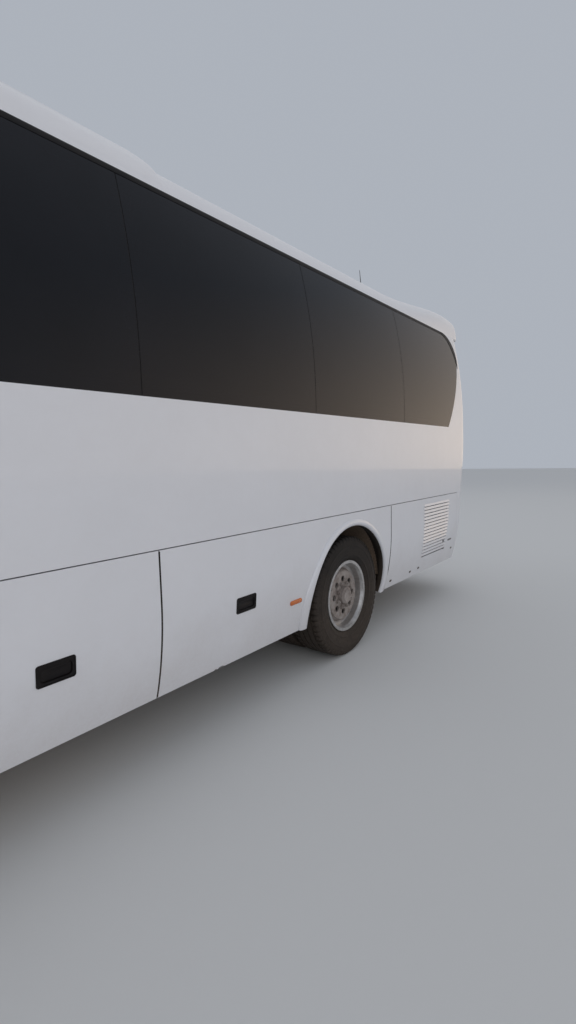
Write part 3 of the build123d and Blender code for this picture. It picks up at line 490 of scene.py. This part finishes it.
# Skirt fasteners: quarter-turn studs of dark steel with pressed oval heads, let into the foot of the engine
# side door to hold it shut.
stud_dark = dusty("stud_dark", (0.02, 0.018, 0.017), 0.6, 1.0, 0.3)
stud_width, stud_height, stud_radius = .044, .022, .0109
stud_rings = [(stud_width * share, stud_height * share, stud_radius * share, out)
              for out, share in ((-.003, 1), (.0016, 1), (.0032, .82), (.0036, .35))]
for side, hand in sides:
    studs = [on_flank(x, z, stud_rings, side)
             for x, z in ((-2.955, .461), (-3.410, .462), (-3.625, .463), (-4.571, .541))]
    solid("skirt_studs_" + hand, studs, stud_dark, "engine_side_door_" + hand, "black_plastic")


# Tyres: moulded rubber with a ribbed sidewall, four grooves round the tread and notches across both
# shoulders. Each is one closed surface turned about its axle line, and stands in place of the plain one of
# the frame.
def lathe(x, y, side, profile, angles, dip):
    """Closed profile rows (outboard of the wheel's middle, radius) turned about the axle line at the given
    angles; dip lowers the radius, as an array (angles, rows)."""
    radius = profile[None, :, 1] - dip
    turn = np.asarray(angles)[:, None]
    return points(x + radius * np.cos(turn), y + side * profile[None, :, 0], axle_z + radius * np.sin(turn))


wheel_y, inner_wheel_y, twin_turn = 1.070, 0.740, 0.03
tread_radius, groove_depth, groove_top, groove_foot = .5048, .011, .0058, .0042
notch_count, notch_share, notch_ramp, notch_depth = 64, 0.26, .03, 0.009
tread = [(middle + aside, depth) for middle in (.078, .027, -.027, -.078)
         for aside, depth in ((groove_top, 0), (groove_foot, groove_depth), (-groove_foot, groove_depth),
                              (-groove_top, 0))]
wall = [(.1050, .2900), (.1054, .3030), (.1140, .3120), (.1225, .3200), (.1240, .3245), (.1290, .3300),
        (.1325, .3420), (.1352, .3440), (.1358, .3475), (.1350, .3500), (.1385, .3680), (.1412, .3900),
        (.1422, .4100), (.1420, .4200), (.1432, .4220), (.1432, .4260), (.1410, .4290), (.1385, .4440),
        (.1350, .4600), (.1330, .4680), (.1350, .4710), (.1335, .4800), (.1285, .4920), (.1210, .5000),
        (.1120, .5035)]
crown = [(u, tread_radius - .35 * u ** 2 / 1.2 - depth) for u, depth in tread]
tyre_profile = shape(wall + crown + [(-u, r) for u, r in reversed(wall)])
pitch = 2 * pi / notch_count
notch_marks = shape([0, notch_ramp, notch_share, notch_share + notch_ramp])
angles = (np.arange(notch_count)[:, None] * pitch + pitch * notch_marks).ravel()
in_notch = np.tile([0, 1, 1, 0], notch_count)[:, None]
shoulder = (np.abs(tyre_profile[:, 0]) > .083) & (tyre_profile[:, 1] > .4685)
dip = in_notch * shoulder[None, :] * notch_depth
tyre_rubber = dusty("tyre_rubber", (0.011, 0.0095, 0.009), 0.72, 1.0, 0.13, specular=0.3, grain=0.35,
                    grain_scale=220.0)
for side, hand in sides:
    single = lathe(front_axle_x, side * wheel_y, side, tyre_profile, angles, dip)
    piece = solid("front_tyre_tread_" + hand, [(single, True)], tyre_rubber, "front_wheel_" + hand, "tyre")
    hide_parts("front_tyre_" + hand)
    twins = [(lathe(rear_axle_x, side * y, side, tyre_profile, angles + turn, dip), True)
             for y, turn in ((wheel_y, 0), (inner_wheel_y, twin_turn))]
    piece = solid("rear_tyre_tread_" + hand, twins, tyre_rubber, "rear_wheels_" + hand, "tyre")
    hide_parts("rear_tyres_" + hand)


# Wheels: silver painted steel, bright on the barrel, dusted brown on the disc; eight nuts on studs, a hub cap
# and a valve stem are screwed to each outer wheel.
def stack(centre, axis, rows, count, phase=0.0):
    """Circles about an axis through centre: rows of (distance along the axis, radius)."""
    axis = unit(axis)
    first = unit(np.cross(axis, (0.31, 0.17, 0.93)))
    second = np.cross(axis, first)
    turn = (np.arange(count) + phase) * 2 * pi / count
    circle = np.cos(turn)[:, None] * first + np.sin(turn)[:, None] * second
    return np.stack([np.asarray(centre) + along * axis + radius * circle for along, radius in rows])


wheel_silver, tree, shader, place = new_material("wheel_silver")
here = split(place)
middle_x, half_base = (front_axle_x + rear_axle_x) / 2, (front_axle_x - rear_axle_x) / 2
span = math("SUBTRACT", math("ABSOLUTE", math("SUBTRACT", here["X"], middle_x)), half_base)
rise = math("SUBTRACT", here["Z"], axle_z)
on_disc = ramp(math("SQRT", squares(span, rise)), 0.225, 0.250, 1.0, 0.0)
rust = shift(place, 14.0, 8.0, 0.7, 0.42, 0.75)
brushed = mix(shift(place, 30.0, 6.0, 0.7), (0.40, 0.38, 0.37, 1), (0.62, 0.61, 0.60, 1))
soiled = mix(rust, (0.21, 0.155, 0.125, 1), (0.08, 0.050, 0.038, 1))
dirt = math("MULTIPLY", on_disc, ramp(rust, 0, 1, 0.55, 0.95))
feed(shader, {"Base Color": mix(dirt, brushed, soiled),
              "Roughness": ramp(on_disc, 0, 1, 0.30, 0.62),
              "Metallic": ramp(on_disc, 0, 1, 0.85, 0.35)})
dress(wheel_silver, "front_rim_left", "front_rim_right", "rear_rims_left", "rear_rims_right")
nut_rows = [(-.002, .0215), (.003, .0215), (.003, .0165), (.020, .0165), (.022, .014)]
bolt_rows = [(.018, .0085), (.030, .0085), (.032, .006)]
cap_rows = [(.030, .060), (.0445, .059), (.047, .052), (.0445, .046), (.0445, .020)]
valve_rows = [(0, .006), (.03, .006), (.032, .0045), (.048, .0045), (.049, .003)]


def on_wheel(axle, side, out, reach, turn):
    """A point on a wheel: so far outboard of its middle, so far from its axle line, at the given turn."""
    return np.array([axle + reach * cos(turn), side * (wheel_y + out), axle_z + reach * sin(turn)])


for axle, body in ((front_axle_x, "front_wheel_"), (rear_axle_x, "rear_wheels_")):
    for side, hand in sides:
        parts = []
        outward = (0, side, 0)
        for i in range(8):
            centre = on_wheel(axle, side, .075, .104, radians(22.5 + 45 * i))
            parts.append(stack(centre, outward, nut_rows, 6, i * 0.2))
            parts.append(stack(centre, outward, bolt_rows, 12))
        parts.append(stack(on_wheel(axle, side, .075, 0, 0), outward, cap_rows, 40))
        parts.append(stack(on_wheel(axle, side, .050, .228, 0.4), outward, valve_rows, 12))
        solid("wheel_nuts_" + body + hand, parts, wheel_silver, body + hand, "wheel_steel")

# Wipers: two black steel arms on pivots below the windscreen, with rubber blades lying along its foot. The
# windscreen is part of a cone about an upright line behind it.
front_centre_x, front_radius, front_base_z, front_taper = 1.26, 3.590, 1.25, 0.24444


def front_face(y, z, out):
    """Points on the front end at given y and z, moved forwards: a circle about the front centre whose radius
    shrinks by the taper for each metre up."""
    radius = front_radius - front_taper * (z - front_base_z)
    return points(front_centre_x + np.sqrt(radius ** 2 - y ** 2) + out, y, z)


def tube(path, radii, count):
    """Loops round a path of points, each with its own radius."""
    path = np.asarray(path, float)
    along = unit(np.gradient(path, axis=0))
    first = unit(np.cross(along, (0.13, 0.21, 0.97)))
    second = np.cross(along, first)
    turn = np.arange(count) * 2 * pi / count
    ring = np.cos(turn)[None, :, None] * first[:, None] + np.sin(turn)[None, :, None] * second[:, None]
    return path[:, None] + ring * np.broadcast_to(radii, len(path))[:, None, None]


pivot_z, blade_z = 1.290, 1.425
pivot_rows = [(0, .030), (.022, .030), (.030, .022)]
parts = []
for pivot_y, tip_y in ((0.88, 0.10), (-0.08, -0.86)):
    t = np.linspace(0, 1, 12)
    climb = (blade_z - pivot_z) * np.minimum(t * 1.6, 1)
    bow = .020 + .022 * np.sin(pi * t * .8)
    arm = front_face(pivot_y + (tip_y + .42 - pivot_y) * t, pivot_z + climb, bow)
    parts.append(tube(arm, .011 - .004 * t, 10))
    parts.append(stack(front_face(pivot_y, pivot_z, -.01), (1, 0, .2), pivot_rows, 16))
    t = np.linspace(-.05, 1, 18)
    parts.append(tube(front_face(pivot_y - .02 + (tip_y - pivot_y) * t, blade_z, .012), .0075, 8))
trim("wipers", parts)

# Headlamps: a chromed ring and a dome of pressed clear glass over each of the two bulbs, bonded into the
# smoked lens of each lamp.
lamp_chrome = mottled("lamp_chrome", ((0.62, 0.62, 0.64), (0.78, 0.78, 0.80)), (40.0,),
                      (0.08, 0.18), (25.0,), Metallic=1.0)
lamp_dome = mottled("lamp_dome", ((0.55, 0.57, 0.60), (0.70, 0.72, 0.74)), (50.0,),
                    (0.05, 0.12), (30.0,), Coat_Weight=1.0)
headlamp_z, lens_radius = 0.815, 3.594
ring_rows = [(-.004, .070), (.008, .070), (.011, .066), (.008, .060), (-.004, .060)]
dome_rows = [(-.006, .058), (.004, .056), (.011, .044), (.015, .026), (.016, .008)]
rings, domes = [], []
for side in (1, -1):
    for y in (0.78, 0.96):
        centre = (front_centre_x + sqrt(lens_radius ** 2 - y ** 2), side * y, headlamp_z)
        outward = (cos(y / 3.6), side * sin(y / 3.6), 0)
        rings.append((stack(centre, outward, ring_rows, 40), True))
        domes.append(stack(centre, outward, dome_rows, 32))
solid("headlamp_rings", rings, lamp_chrome, "coach")
solid("headlamp_domes", domes, lamp_dome, "coach", "lamp_lens")

# End fittings: black rubber frames bonded round the lamps, the rear window, the door's glass and the air
# intake, bars across the tail lamps, slats below the windscreen, a high brake lamp and front indicators.
places, corners = [], []
for name in ("cab_shell", "front_bumper", "lamps", "rear_shell", "rear_bumper", "rear_engine_door",
             "end_windows"):
    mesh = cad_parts[name].data
    corners += [[len(places) + i for i in face.vertices] for face in mesh.polygons]
    places += [point.co.copy() for point in mesh.vertices]
end_shells = BVHTree.FromPolygons(places, corners)


def end_face(y, z, out, heading):
    """Points on the front end, heading 1, or the rear end, heading -1, at given y and z, moved outwards. A
    line along the coach finds the panel."""
    y, z, out = np.broadcast_arrays(y, z, out)
    made = np.empty(y.shape + (3,))
    for at in np.ndindex(y.shape):
        hit = end_shells.ray_cast((heading * 6.0, y[at], z[at]), (-heading, 0, 0))[0]
        made[at] = ((hit.x if hit else heading * 4.80) + heading * out[at], y[at], z[at])
    return made


def band_round(centre, width, height, radius, place):
    """Loops of a rubber frame round a rounded rectangle on the surface that place gives. Its section is rows
    of (distance outside the edge, distance out of the panel)."""
    dots = rounded(width, height, radius)
    pieces = []
    for a, b in zip(dots, np.roll(dots, -1, 0)):
        gap = np.linalg.norm(b - a)
        if gap > 1e-6:
            steps = max(1, int(np.ceil(gap / .035)))
            pieces.append(a + (b - a) * np.arange(steps)[:, None] / steps)
    dots = np.concatenate(pieces)
    ahead = unit(np.roll(dots, -1, 0) - np.roll(dots, 1, 0))
    edge = np.stack([ahead[:, 1], -ahead[:, 0]], -1)
    section = [(-.014, -.004), (-.014, .0025), (-.009, .0045), (.006, .0045), (.010, .0020), (.010, -.004)]
    y, z = centre[0] + dots[:, 0], centre[1] + dots[:, 1]
    return np.stack([place(y + edge[:, 0] * w, z + edge[:, 1] * w, out) for w, out in section], 1)


def bar_across(y0, y1, z, half, out, heading):
    """Loops of a bar from y0 to y1 across an end of the coach, with its outer corners rounded."""
    y = np.linspace(y0, y1, max(3, int(abs(y1 - y0) / .04)))
    marks = [(-1, -.004), (-1, out - .0015), (-.7, out), (.7, out), (1, out - .0015), (1, -.004)]
    return np.stack([end_face(y, z + half * w, o, heading) for w, o in marks], 1)


intake_z, above_intake, below_intake = .560, .640, .480


def intake_edge(y, z, out):
    """Points round the air intake, on the bumper's face above or below the opening and moved back to its
    edge."""
    made = end_face(y, np.where(z > intake_z, above_intake, below_intake), out, 1)
    made[..., 2] = z
    return made


rear_window_z, tail_lamp_y, tail_lamp_z, door_glass_x, door_glass_z = 2.435, 1.010, 1.200, 3.790, 2.150
on_front, on_rear = partial(end_face, heading=1), partial(end_face, heading=-1)
on_right = partial(flank, side=-1)
frames = [(band_round((side * .88, headlamp_z), .500, .190, .070, on_front), True) for side in (1, -1)]
frames.append((band_round((0, intake_z), .620, .110, .036, intake_edge), True))
frames.append((band_round((0, rear_window_z), 1.800, .830, .014, on_rear), True))
for side in (1, -1):
    frames.append((band_round((side * tail_lamp_y, tail_lamp_z), .290, .560, .060, on_rear), True))
    frames += [bar_across(side * .872, side * 1.148, z, .005, .004, -1) for z in (red_foot, amber_foot)]
frames += [bar_across(-.46, .46, z, .008, .006, 1) for z in (1.085, 1.115, 1.145)]
trim("end_frames", frames)
seal = band_round((door_glass_x, door_glass_z), .580, 1.300, .014, on_right)
trim("door_glass_seal", [(seal, True)], "passenger_door")
lamp_red = mottled("lamp_red", ((0.20, 0.007, 0.005), (0.28, 0.010, 0.008)), (60.0,),
                   (0.12, 0.25), (30.0,), Coat_Weight=0.8)
solid("high_brake_lamp", [bar_across(-.20, .20, 2.945, .016, .012, -1)], lamp_red, "coach", "lamp_lens")
solid("front_indicators", [bar_across(side * .648, side * .694, headlamp_z, .060, .009, 1)
                           for side in (1, -1)], marker_amber, "coach", "lamp_lens")

# Roof mouldings: the glass-fibre fairing that grows out of the roof towards the rear end, and the air
# conditioner's cover, a pod with a sloping nose. Both are bonded down and painted with the body.
crown_half, crown_angle, crown_top = 0.90663, radians(6.6), 3.27564
gutter_radius, gutter_y, gutter_z = 0.25, 0.8779, 3.0273


def roof_height(y):
    """Height of the roof at y: a shallow crown arc over the middle and an arc down to each gutter."""
    y = np.abs(y)
    radius = crown_half / sin(crown_angle)
    middle = crown_top - radius * cos(crown_angle) + np.sqrt(radius ** 2 - np.minimum(y, crown_half) ** 2)
    edge = gutter_z + np.sqrt(np.clip(gutter_radius ** 2 - (y - gutter_y) ** 2, 0, None))
    return np.where(y < crown_half, middle, edge)


def whole(half):
    """A section across the whole roof from its left half, as rows of (y, z) up to the middle."""
    return np.concatenate([half, half[-2::-1] * (-1, 1)])


def roof_moulding(section, outline, foot, peak, sweep=0.0):
    """Closed loops across the roof from rows of (x, crest height, width share, rise share): the section, rows
    of (y, z) from foot to peak, takes each width and crest, and sinks to the roof as the rise share falls.
    Sweep draws the rear end forward by that much at 0.85 m out."""
    y, lift = section.T
    loops = []
    for x, crest, share, rise in outline:
        across, ground = y * share, roof_height(y * share)
        top = (1 - rise) * (ground + .001) + rise * (foot + (lift - foot) * (crest - foot) / (peak - foot))
        under = np.minimum(ground - .02, top - .004)
        along = x + sweep * np.clip(np.abs(across) / .85, 0, 1) ** 2 * min(max(-x / .55, 0), 1)
        loops.append(np.concatenate([points(along, across, top), points(along, across * .985, under)[::-1]]))
    return loops


brim_y, brim_z, crest_z = 1.1217, 3.084, 3.410
nose_x, nose_length, corner_x, corner_radius = -3.15, 1.50, -4.880, 0.24
half = smooth_path([(brim_y, brim_z), (1.118, 3.150), (1.110, 3.210), (1.092, 3.272), (1.052, 3.322),
                    (.990, 3.354), (.900, 3.376), (.700, 3.394), (.400, 3.405), (0, crest_z)], 4)
crests = smooth_path([(nose_x, crest_z), (-3.6, crest_z), (-4.2, crest_z),
                      (-4.6, 3.408), (-4.80, 3.397), (-4.93, 3.374), (-5.01, 3.334), (-5.062, 3.275),
                      (-5.095, 3.210), (-5.108, 3.150), (-5.112, 3.095), (-5.112, 3.088)], 5)
rise = np.clip((nose_x - crests[:, 0]) / nose_length, 0, 1)
past_corner = np.clip(corner_x - crests[:, 0], 0, corner_radius)
inset = corner_radius - np.sqrt(np.clip(corner_radius ** 2 - past_corner ** 2, 0, None))
outline = np.stack([crests[:, 0], crests[:, 1], 1 - inset / brim_y, rise ** 2 * (3 - 2 * rise)], -1)
fairing = solid("rear_fairing_skin", [roof_moulding(whole(half), outline, brim_z, crest_z)],
                body_white, "coach", "body_paint")
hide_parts("rear_fairing")
pod_foot, pod_crest, pod_sweep, skirt_rows = 3.262, 3.490, .21, 26
half = smooth_path([(1.116, 3.095), (1.104, 3.146), (1.075, 3.205), (1.030, 3.257), (.970, 3.307),
                    (.900, 3.354), (.820, 3.405), (.740, 3.446), (.660, 3.475), (.450, 3.4885),
                    (0, pod_crest)], 5)
growth = smooth_path([(-.622, 0), (-.619, .36), (-.610, .62), (-.588, .82), (-.545, .94), (-.48, .99),
                      (-.40, 1), (.5, 1), (2.1, 1), (2.3, .955), (2.5, .70), (2.66, .30), (2.76, 0)], 4)
outline = [(x, pod_crest, 1, min(max(share, 0), 1)) for x, share in growth]
pod = [roof_moulding(section, outline, pod_foot, pod_crest, pod_sweep)
       for section in (whole(half[skirt_rows - 1:]), half[:skirt_rows], half[:skirt_rows] * (-1, 1))]
cover = solid("roof_pod_cover", pod[:1], body_white, "coach", "body_paint")
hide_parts("roof_pod")
solid("roof_pod_skirts", pod[1:], body_white, "coach", "body_paint")

# Roof pod fans: round grilles of black coated wire, with three rings and eight spokes between a rim and a
# hub, clipped over the two rows of condenser fans.
grille_z = .005
parts = []
for x in (0.32, 1.02, 1.72):
    for y in (-0.42, 0.42):
        centre = np.array([x, y, pod_crest])
        for ring_radius, half, top in ((.255, .014, .014), (.200, .004, .008), (.145, .004, .008),
                                       (.090, .004, .008)):
            loop = [(-.006, ring_radius + half), (top, ring_radius + half), (top, ring_radius - half),
                    (-.006, ring_radius - half)]
            parts.append((stack(centre, (0, 0, 1), loop, 48), True))
        parts.append(stack(centre, (0, 0, 1), [(-.006, .050), (.010, .050), (.013, .040)], 24))
        for i in range(8):
            heading = np.array([cos(i * pi / 4), sin(i * pi / 4), 0])
            spoke = [centre + heading * reach + (0, 0, grille_z) for reach in (.045, .250)]
            parts.append(tube(spoke, .0045, 6))
trim("roof_fans", parts)

# Roof aerial: a short tapered black rod that leans back from a moulded foot, screwed to the left edge of the
# roof ahead of the fairing.
aerial_y = .900
rod = tube([(-2.935, aerial_y, 3.274), (-2.928, aerial_y, 3.314), (-2.909, aerial_y, 3.420)],
           [.0042, .0036, .0020], 10)
foot = stack((-2.935, aerial_y, 3.272), (0, .11, .99), [(-.003, .020), (.006, .020), (.018, .011),
                                                        (.022, .007)], 20)
trim("roof_aerial", [rod, foot])


# Seats: pairs of foam cushions in woven cloth, piped round the edge and stitched across, on a steel pedestal
# with a moulded shell behind each back and an armrest on the aisle.
def cushion(foot, ahead, above, length, width, thick, channels):
    """A stuffed pad and its piping. It runs from foot along ahead, swells towards above, and its sides pull
    in between the corners; channels are sewn across it at shares of its length."""
    ahead, above = unit(ahead), unit(above)
    t = np.array(sorted([0, .015, .05, .11, .22, .36, .5, .64, .78, .89, .95, .985, 1.0]
                        + [c + d for c in channels for d in (-.020, -.007, .007, .020)]))[:, None]
    end = np.abs(2 * t - 1)
    full = .34 + .66 * np.sqrt(np.clip(1 - end ** 7, 0, 1))
    broad = (.90 + .10 * np.sqrt(np.clip(1 - end ** 8, 0, 1))) * (1 - .035 * np.sin(pi * t))
    turn = np.arange(22) * 2 * pi / 22
    side = (np.sign(np.cos(turn)) * np.abs(np.cos(turn)) ** .5)[None, :]
    rise = (np.sign(np.sin(turn)) * np.abs(np.sin(turn)) ** .6)[None, :]
    sewn = sum(np.exp(-((t - c) / .010) ** 2) for c in channels)
    swell = np.where(rise > 0, rise * (.82 + .26 * (1 - side ** 2) - .24 * sewn), rise)
    bow = .012 * (1 - side ** 2) * np.sign(t - .5) * end ** 4
    loops = (np.asarray(foot) + ((t - bow * 1.6) * length)[..., None] * ahead
             + (side * broad * width / 2)[..., None] * np.array([0, 1, 0])
             + ((.5 + .5 * swell * full) * thick)[..., None] * above)
    rim = np.concatenate([loops[1:-1, 2], loops[-2:0:-1, 9]])
    piping = tube(np.concatenate([rim, rim[:1]]), .0042, 6)[:-1]
    return [loops, (piping, True)]


rearmost_x, seat_pitch, seat_y, saloon_floor_z, door_x = -4.28, .78, .70, 1.23, 2.5
places = [(x, side * seat_y, .42, saloon_floor_z) for side in (1, -1)
          for x in (rearmost_x + seat_pitch * np.arange(10)) if side > 0 or x < door_x]
driver = (3.50, .64, .24, .93)
pads, backs, frames, shells = [], [], [], []
for x, y, half_seat, z in places + [driver]:
    middles, wide = ((y,), .450) if half_seat < .3 else ((y - .205, y + .205), .398)
    for middle in middles:
        pads += cushion((x + .060, middle, z + .322), (.42, 0, .030), (-.07, 0, 1), .425, wide, .108,
                        (.30, .62))
        backs += cushion((x - .035, middle, z + .425), (-.150, 0, .720), (.98, 0, .205), .735, wide - .012,
                         .098, (.26, .50, .745))
        dots = rounded(wide - .014, .700, .070)
        shells.append([points(x - .112 - dots[:, 1] * share * .204 + out, middle + dots[:, 0] * share,
                               z + .785 + dots[:, 1] * share * .979)
                        for out, share in ((.006, .97), (0, 1), (-.010, 1), (-.016, .96))])
    box = rounded(.250, 2 * half_seat - .10, .030)
    frames.append([points(x + .200 + box[:, 0] * share, y + box[:, 1] * share, z + high) for high, share in
                    ((0, 1.06), (.012, 1.06), (.020, .9), (.270, .9), (.300, 1.05), (.334, 1.12))])
    inner = y - np.sign(y) * (half_seat - .022)
    rest = smooth_path([(x - .075, inner, z + .600), (x + .05, inner, z + .612), (x + .200, inner, z + .606),
                        (x + .290, inner, z + .592)], 4)
    frames.append(tube(rest, .0190, 10))
seat_pads = solid("seat_pads", pads, seat_cloth, "coach", "seat_cloth", 60)
back_pads = solid("seat_back_pads", backs, seat_cloth, "coach", "seat_cloth", 60)
for pad, stands_for in ((seat_pads, "seats"), (back_pads, "seat_backs")):
    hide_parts(stands_for)
solid("seat_frames", frames, black_plastic, "coach", "black_plastic")
solid("seat_shells", shells, black_plastic, "coach", "black_plastic")

# Plates: blank plates of pressed white sheet on black plastic carriers, screwed to the front bumper and to
# the rear engine door.
plate_white = mottled("plate_white", ((0.72, 0.72, 0.70), (0.55, 0.52, 0.47)), (25.0, 6.0, 0.6, 0.35, 0.75),
                      (0.25, 0.45), (12.0,))


def upright_plate(x, y, z, width, height, radius, rows):
    """Loops of a rounded rectangle that faces along the coach, from rows of (distance along x, share of its
    size)."""
    dots = rounded(width, height, radius)
    return [points(x + along, y + dots[:, 0] * share, z + dots[:, 1] * share) for along, share in rows]


for end, body, x, z, heading in (("front_", "coach", 4.855, 0.740, 1),
                                 ("rear_", "rear_engine_door", -5.112, 1.490, -1)):
    for name, finish, slot, width, height, low, high in (
            ("carrier", trim_black, "black_plastic", .550, .132, -.02, .006),
            ("plate", plate_white, None, .520, .110, .004, .009)):
        rows = [(heading * low, 1), (heading * (high - .001), 1), (heading * high, .99)]
        solid(end + name, [upright_plate(x, 0, z, width, height, .012, rows)], finish, body, slot)

# Mirror glasses: silvered plates clipped into the rear faces of the mirror housings, the upper one flat and
# the lower one a smaller wide-angle glass.
mirror_glass = mottled("mirror_glass", ((0.55, 0.56, 0.58), (0.63, 0.64, 0.66)), (9.0,),
                       (0.03, 0.16), (18.0, 6.0, 0.6, 0.35, 0.75), Metallic=1.0)
mirror_x, mirror_y = 4.985, 1.245
rows = ((.003, 1), (-.003, 1), (-.0045, .96))
parts = [upright_plate(mirror_x, side * mirror_y, z, .130, height, .030, rows)
         for side in (1, -1) for z, height in ((2.530, .270), (2.310, .110))]
solid("mirror_glasses", parts, mirror_glass, "coach")

# Door pull and hatch latches: a black bar that stands off the passenger door on two feet, and four dark
# latches screwed down at the corners of each roof hatch.
pull_x, hatch_x, hatch_top = 3.500, (rear_axle_x + 0.500, 3.260), 3.372
bar = flank(pull_x, shape([1.24, 1.26, 1.50, 1.52]), shape([-.005, .035, .035, -.005]), -1)
trim("door_pull", [tube(bar, .011, 12)], "passenger_door")
latch_rows = [(-.004, .030), (.010, .030), (.014, .022)]
parts = [stack((x + dx, y, hatch_top), (0, 0, 1), latch_rows, 20)
         for x in hatch_x for dx in (-.34, .34) for y in (-.20, .20)]
trim("hatch_latches", parts)

# Stage: a plain pale floor, soft light from three large lamps, and a plain sky that only what mirrors it sees
# as warmer and brighter low down towards the rear.
reach = 60
floor_mesh = bpy.data.meshes.new("floor")
floor_mesh.from_pydata([(-reach, -reach, 0), (reach, -reach, 0), (reach, reach, 0), (-reach, reach, 0)], [],
                       [(0, 1, 2, 3)])
floor = put("floor", floor_mesh)
floor_finish, tree, shader, place = new_material("floor_finish")
feed(shader, {"Base Color": (0.72, 0.72, 0.71, 1), "Roughness": 0.9})
floor_mesh.materials.append(floor_finish)
world = bpy.data.worlds.new("sky")
bpy.context.scene.world = world
world.use_nodes = True
tree = world.node_tree
way = split(node(tree, "TexCoord").outputs["Generated"])
rearward = math("ADD", math("MULTIPLY", way["X"], -0.94), math("MULTIPLY", way["Y"], 0.34))
level = ramp(math("ABSOLUTE", way["Z"]), 0.0, 0.50, 1.0, 0.0)
glow = math("MULTIPLY", math("POWER", ramp(rearward, 0.50, 1.0), 1.6), level)
mirrored = math("SUBTRACT", 1.0, node(tree, "LightPath").outputs["Is Camera Ray"])
sky_color, glow_color, sky_strength = (0.80, 0.86, 0.96, 1), (2.75, 2.25, 1.80, 1), 0.52
feed(tree.nodes["Background"], {0: mix(math("MULTIPLY", glow, mirrored), sky_color, glow_color),
                                1: sky_strength})


def lamp(name, place, aim, size, power, color):
    """A large square lamp that faces a point."""
    data = bpy.data.lights.new(name, "AREA")
    data.size = size
    data.energy = power
    data.color = color
    made = put(name, data)
    toward = unit(np.subtract(aim, place))
    across = unit(np.cross(toward, (0, 0, 1)))
    made.matrix_world = facing(across, np.cross(across, toward), toward, place)
    made.visible_camera = False


lamp("key_lamp", (9, 14, 6), (-1, 0, 1.5), 14, 640, (1.0, 0.98, 0.96))
lamp("rear_lamp", (-14, -3, 15), (-4, 0, 1.5), 20, 170, (1.0, 0.92, 0.82))
lamp("far_lamp", (2, -16, 6), (0, 0, 1.5), 14, 520, (0.93, 0.96, 1.0))
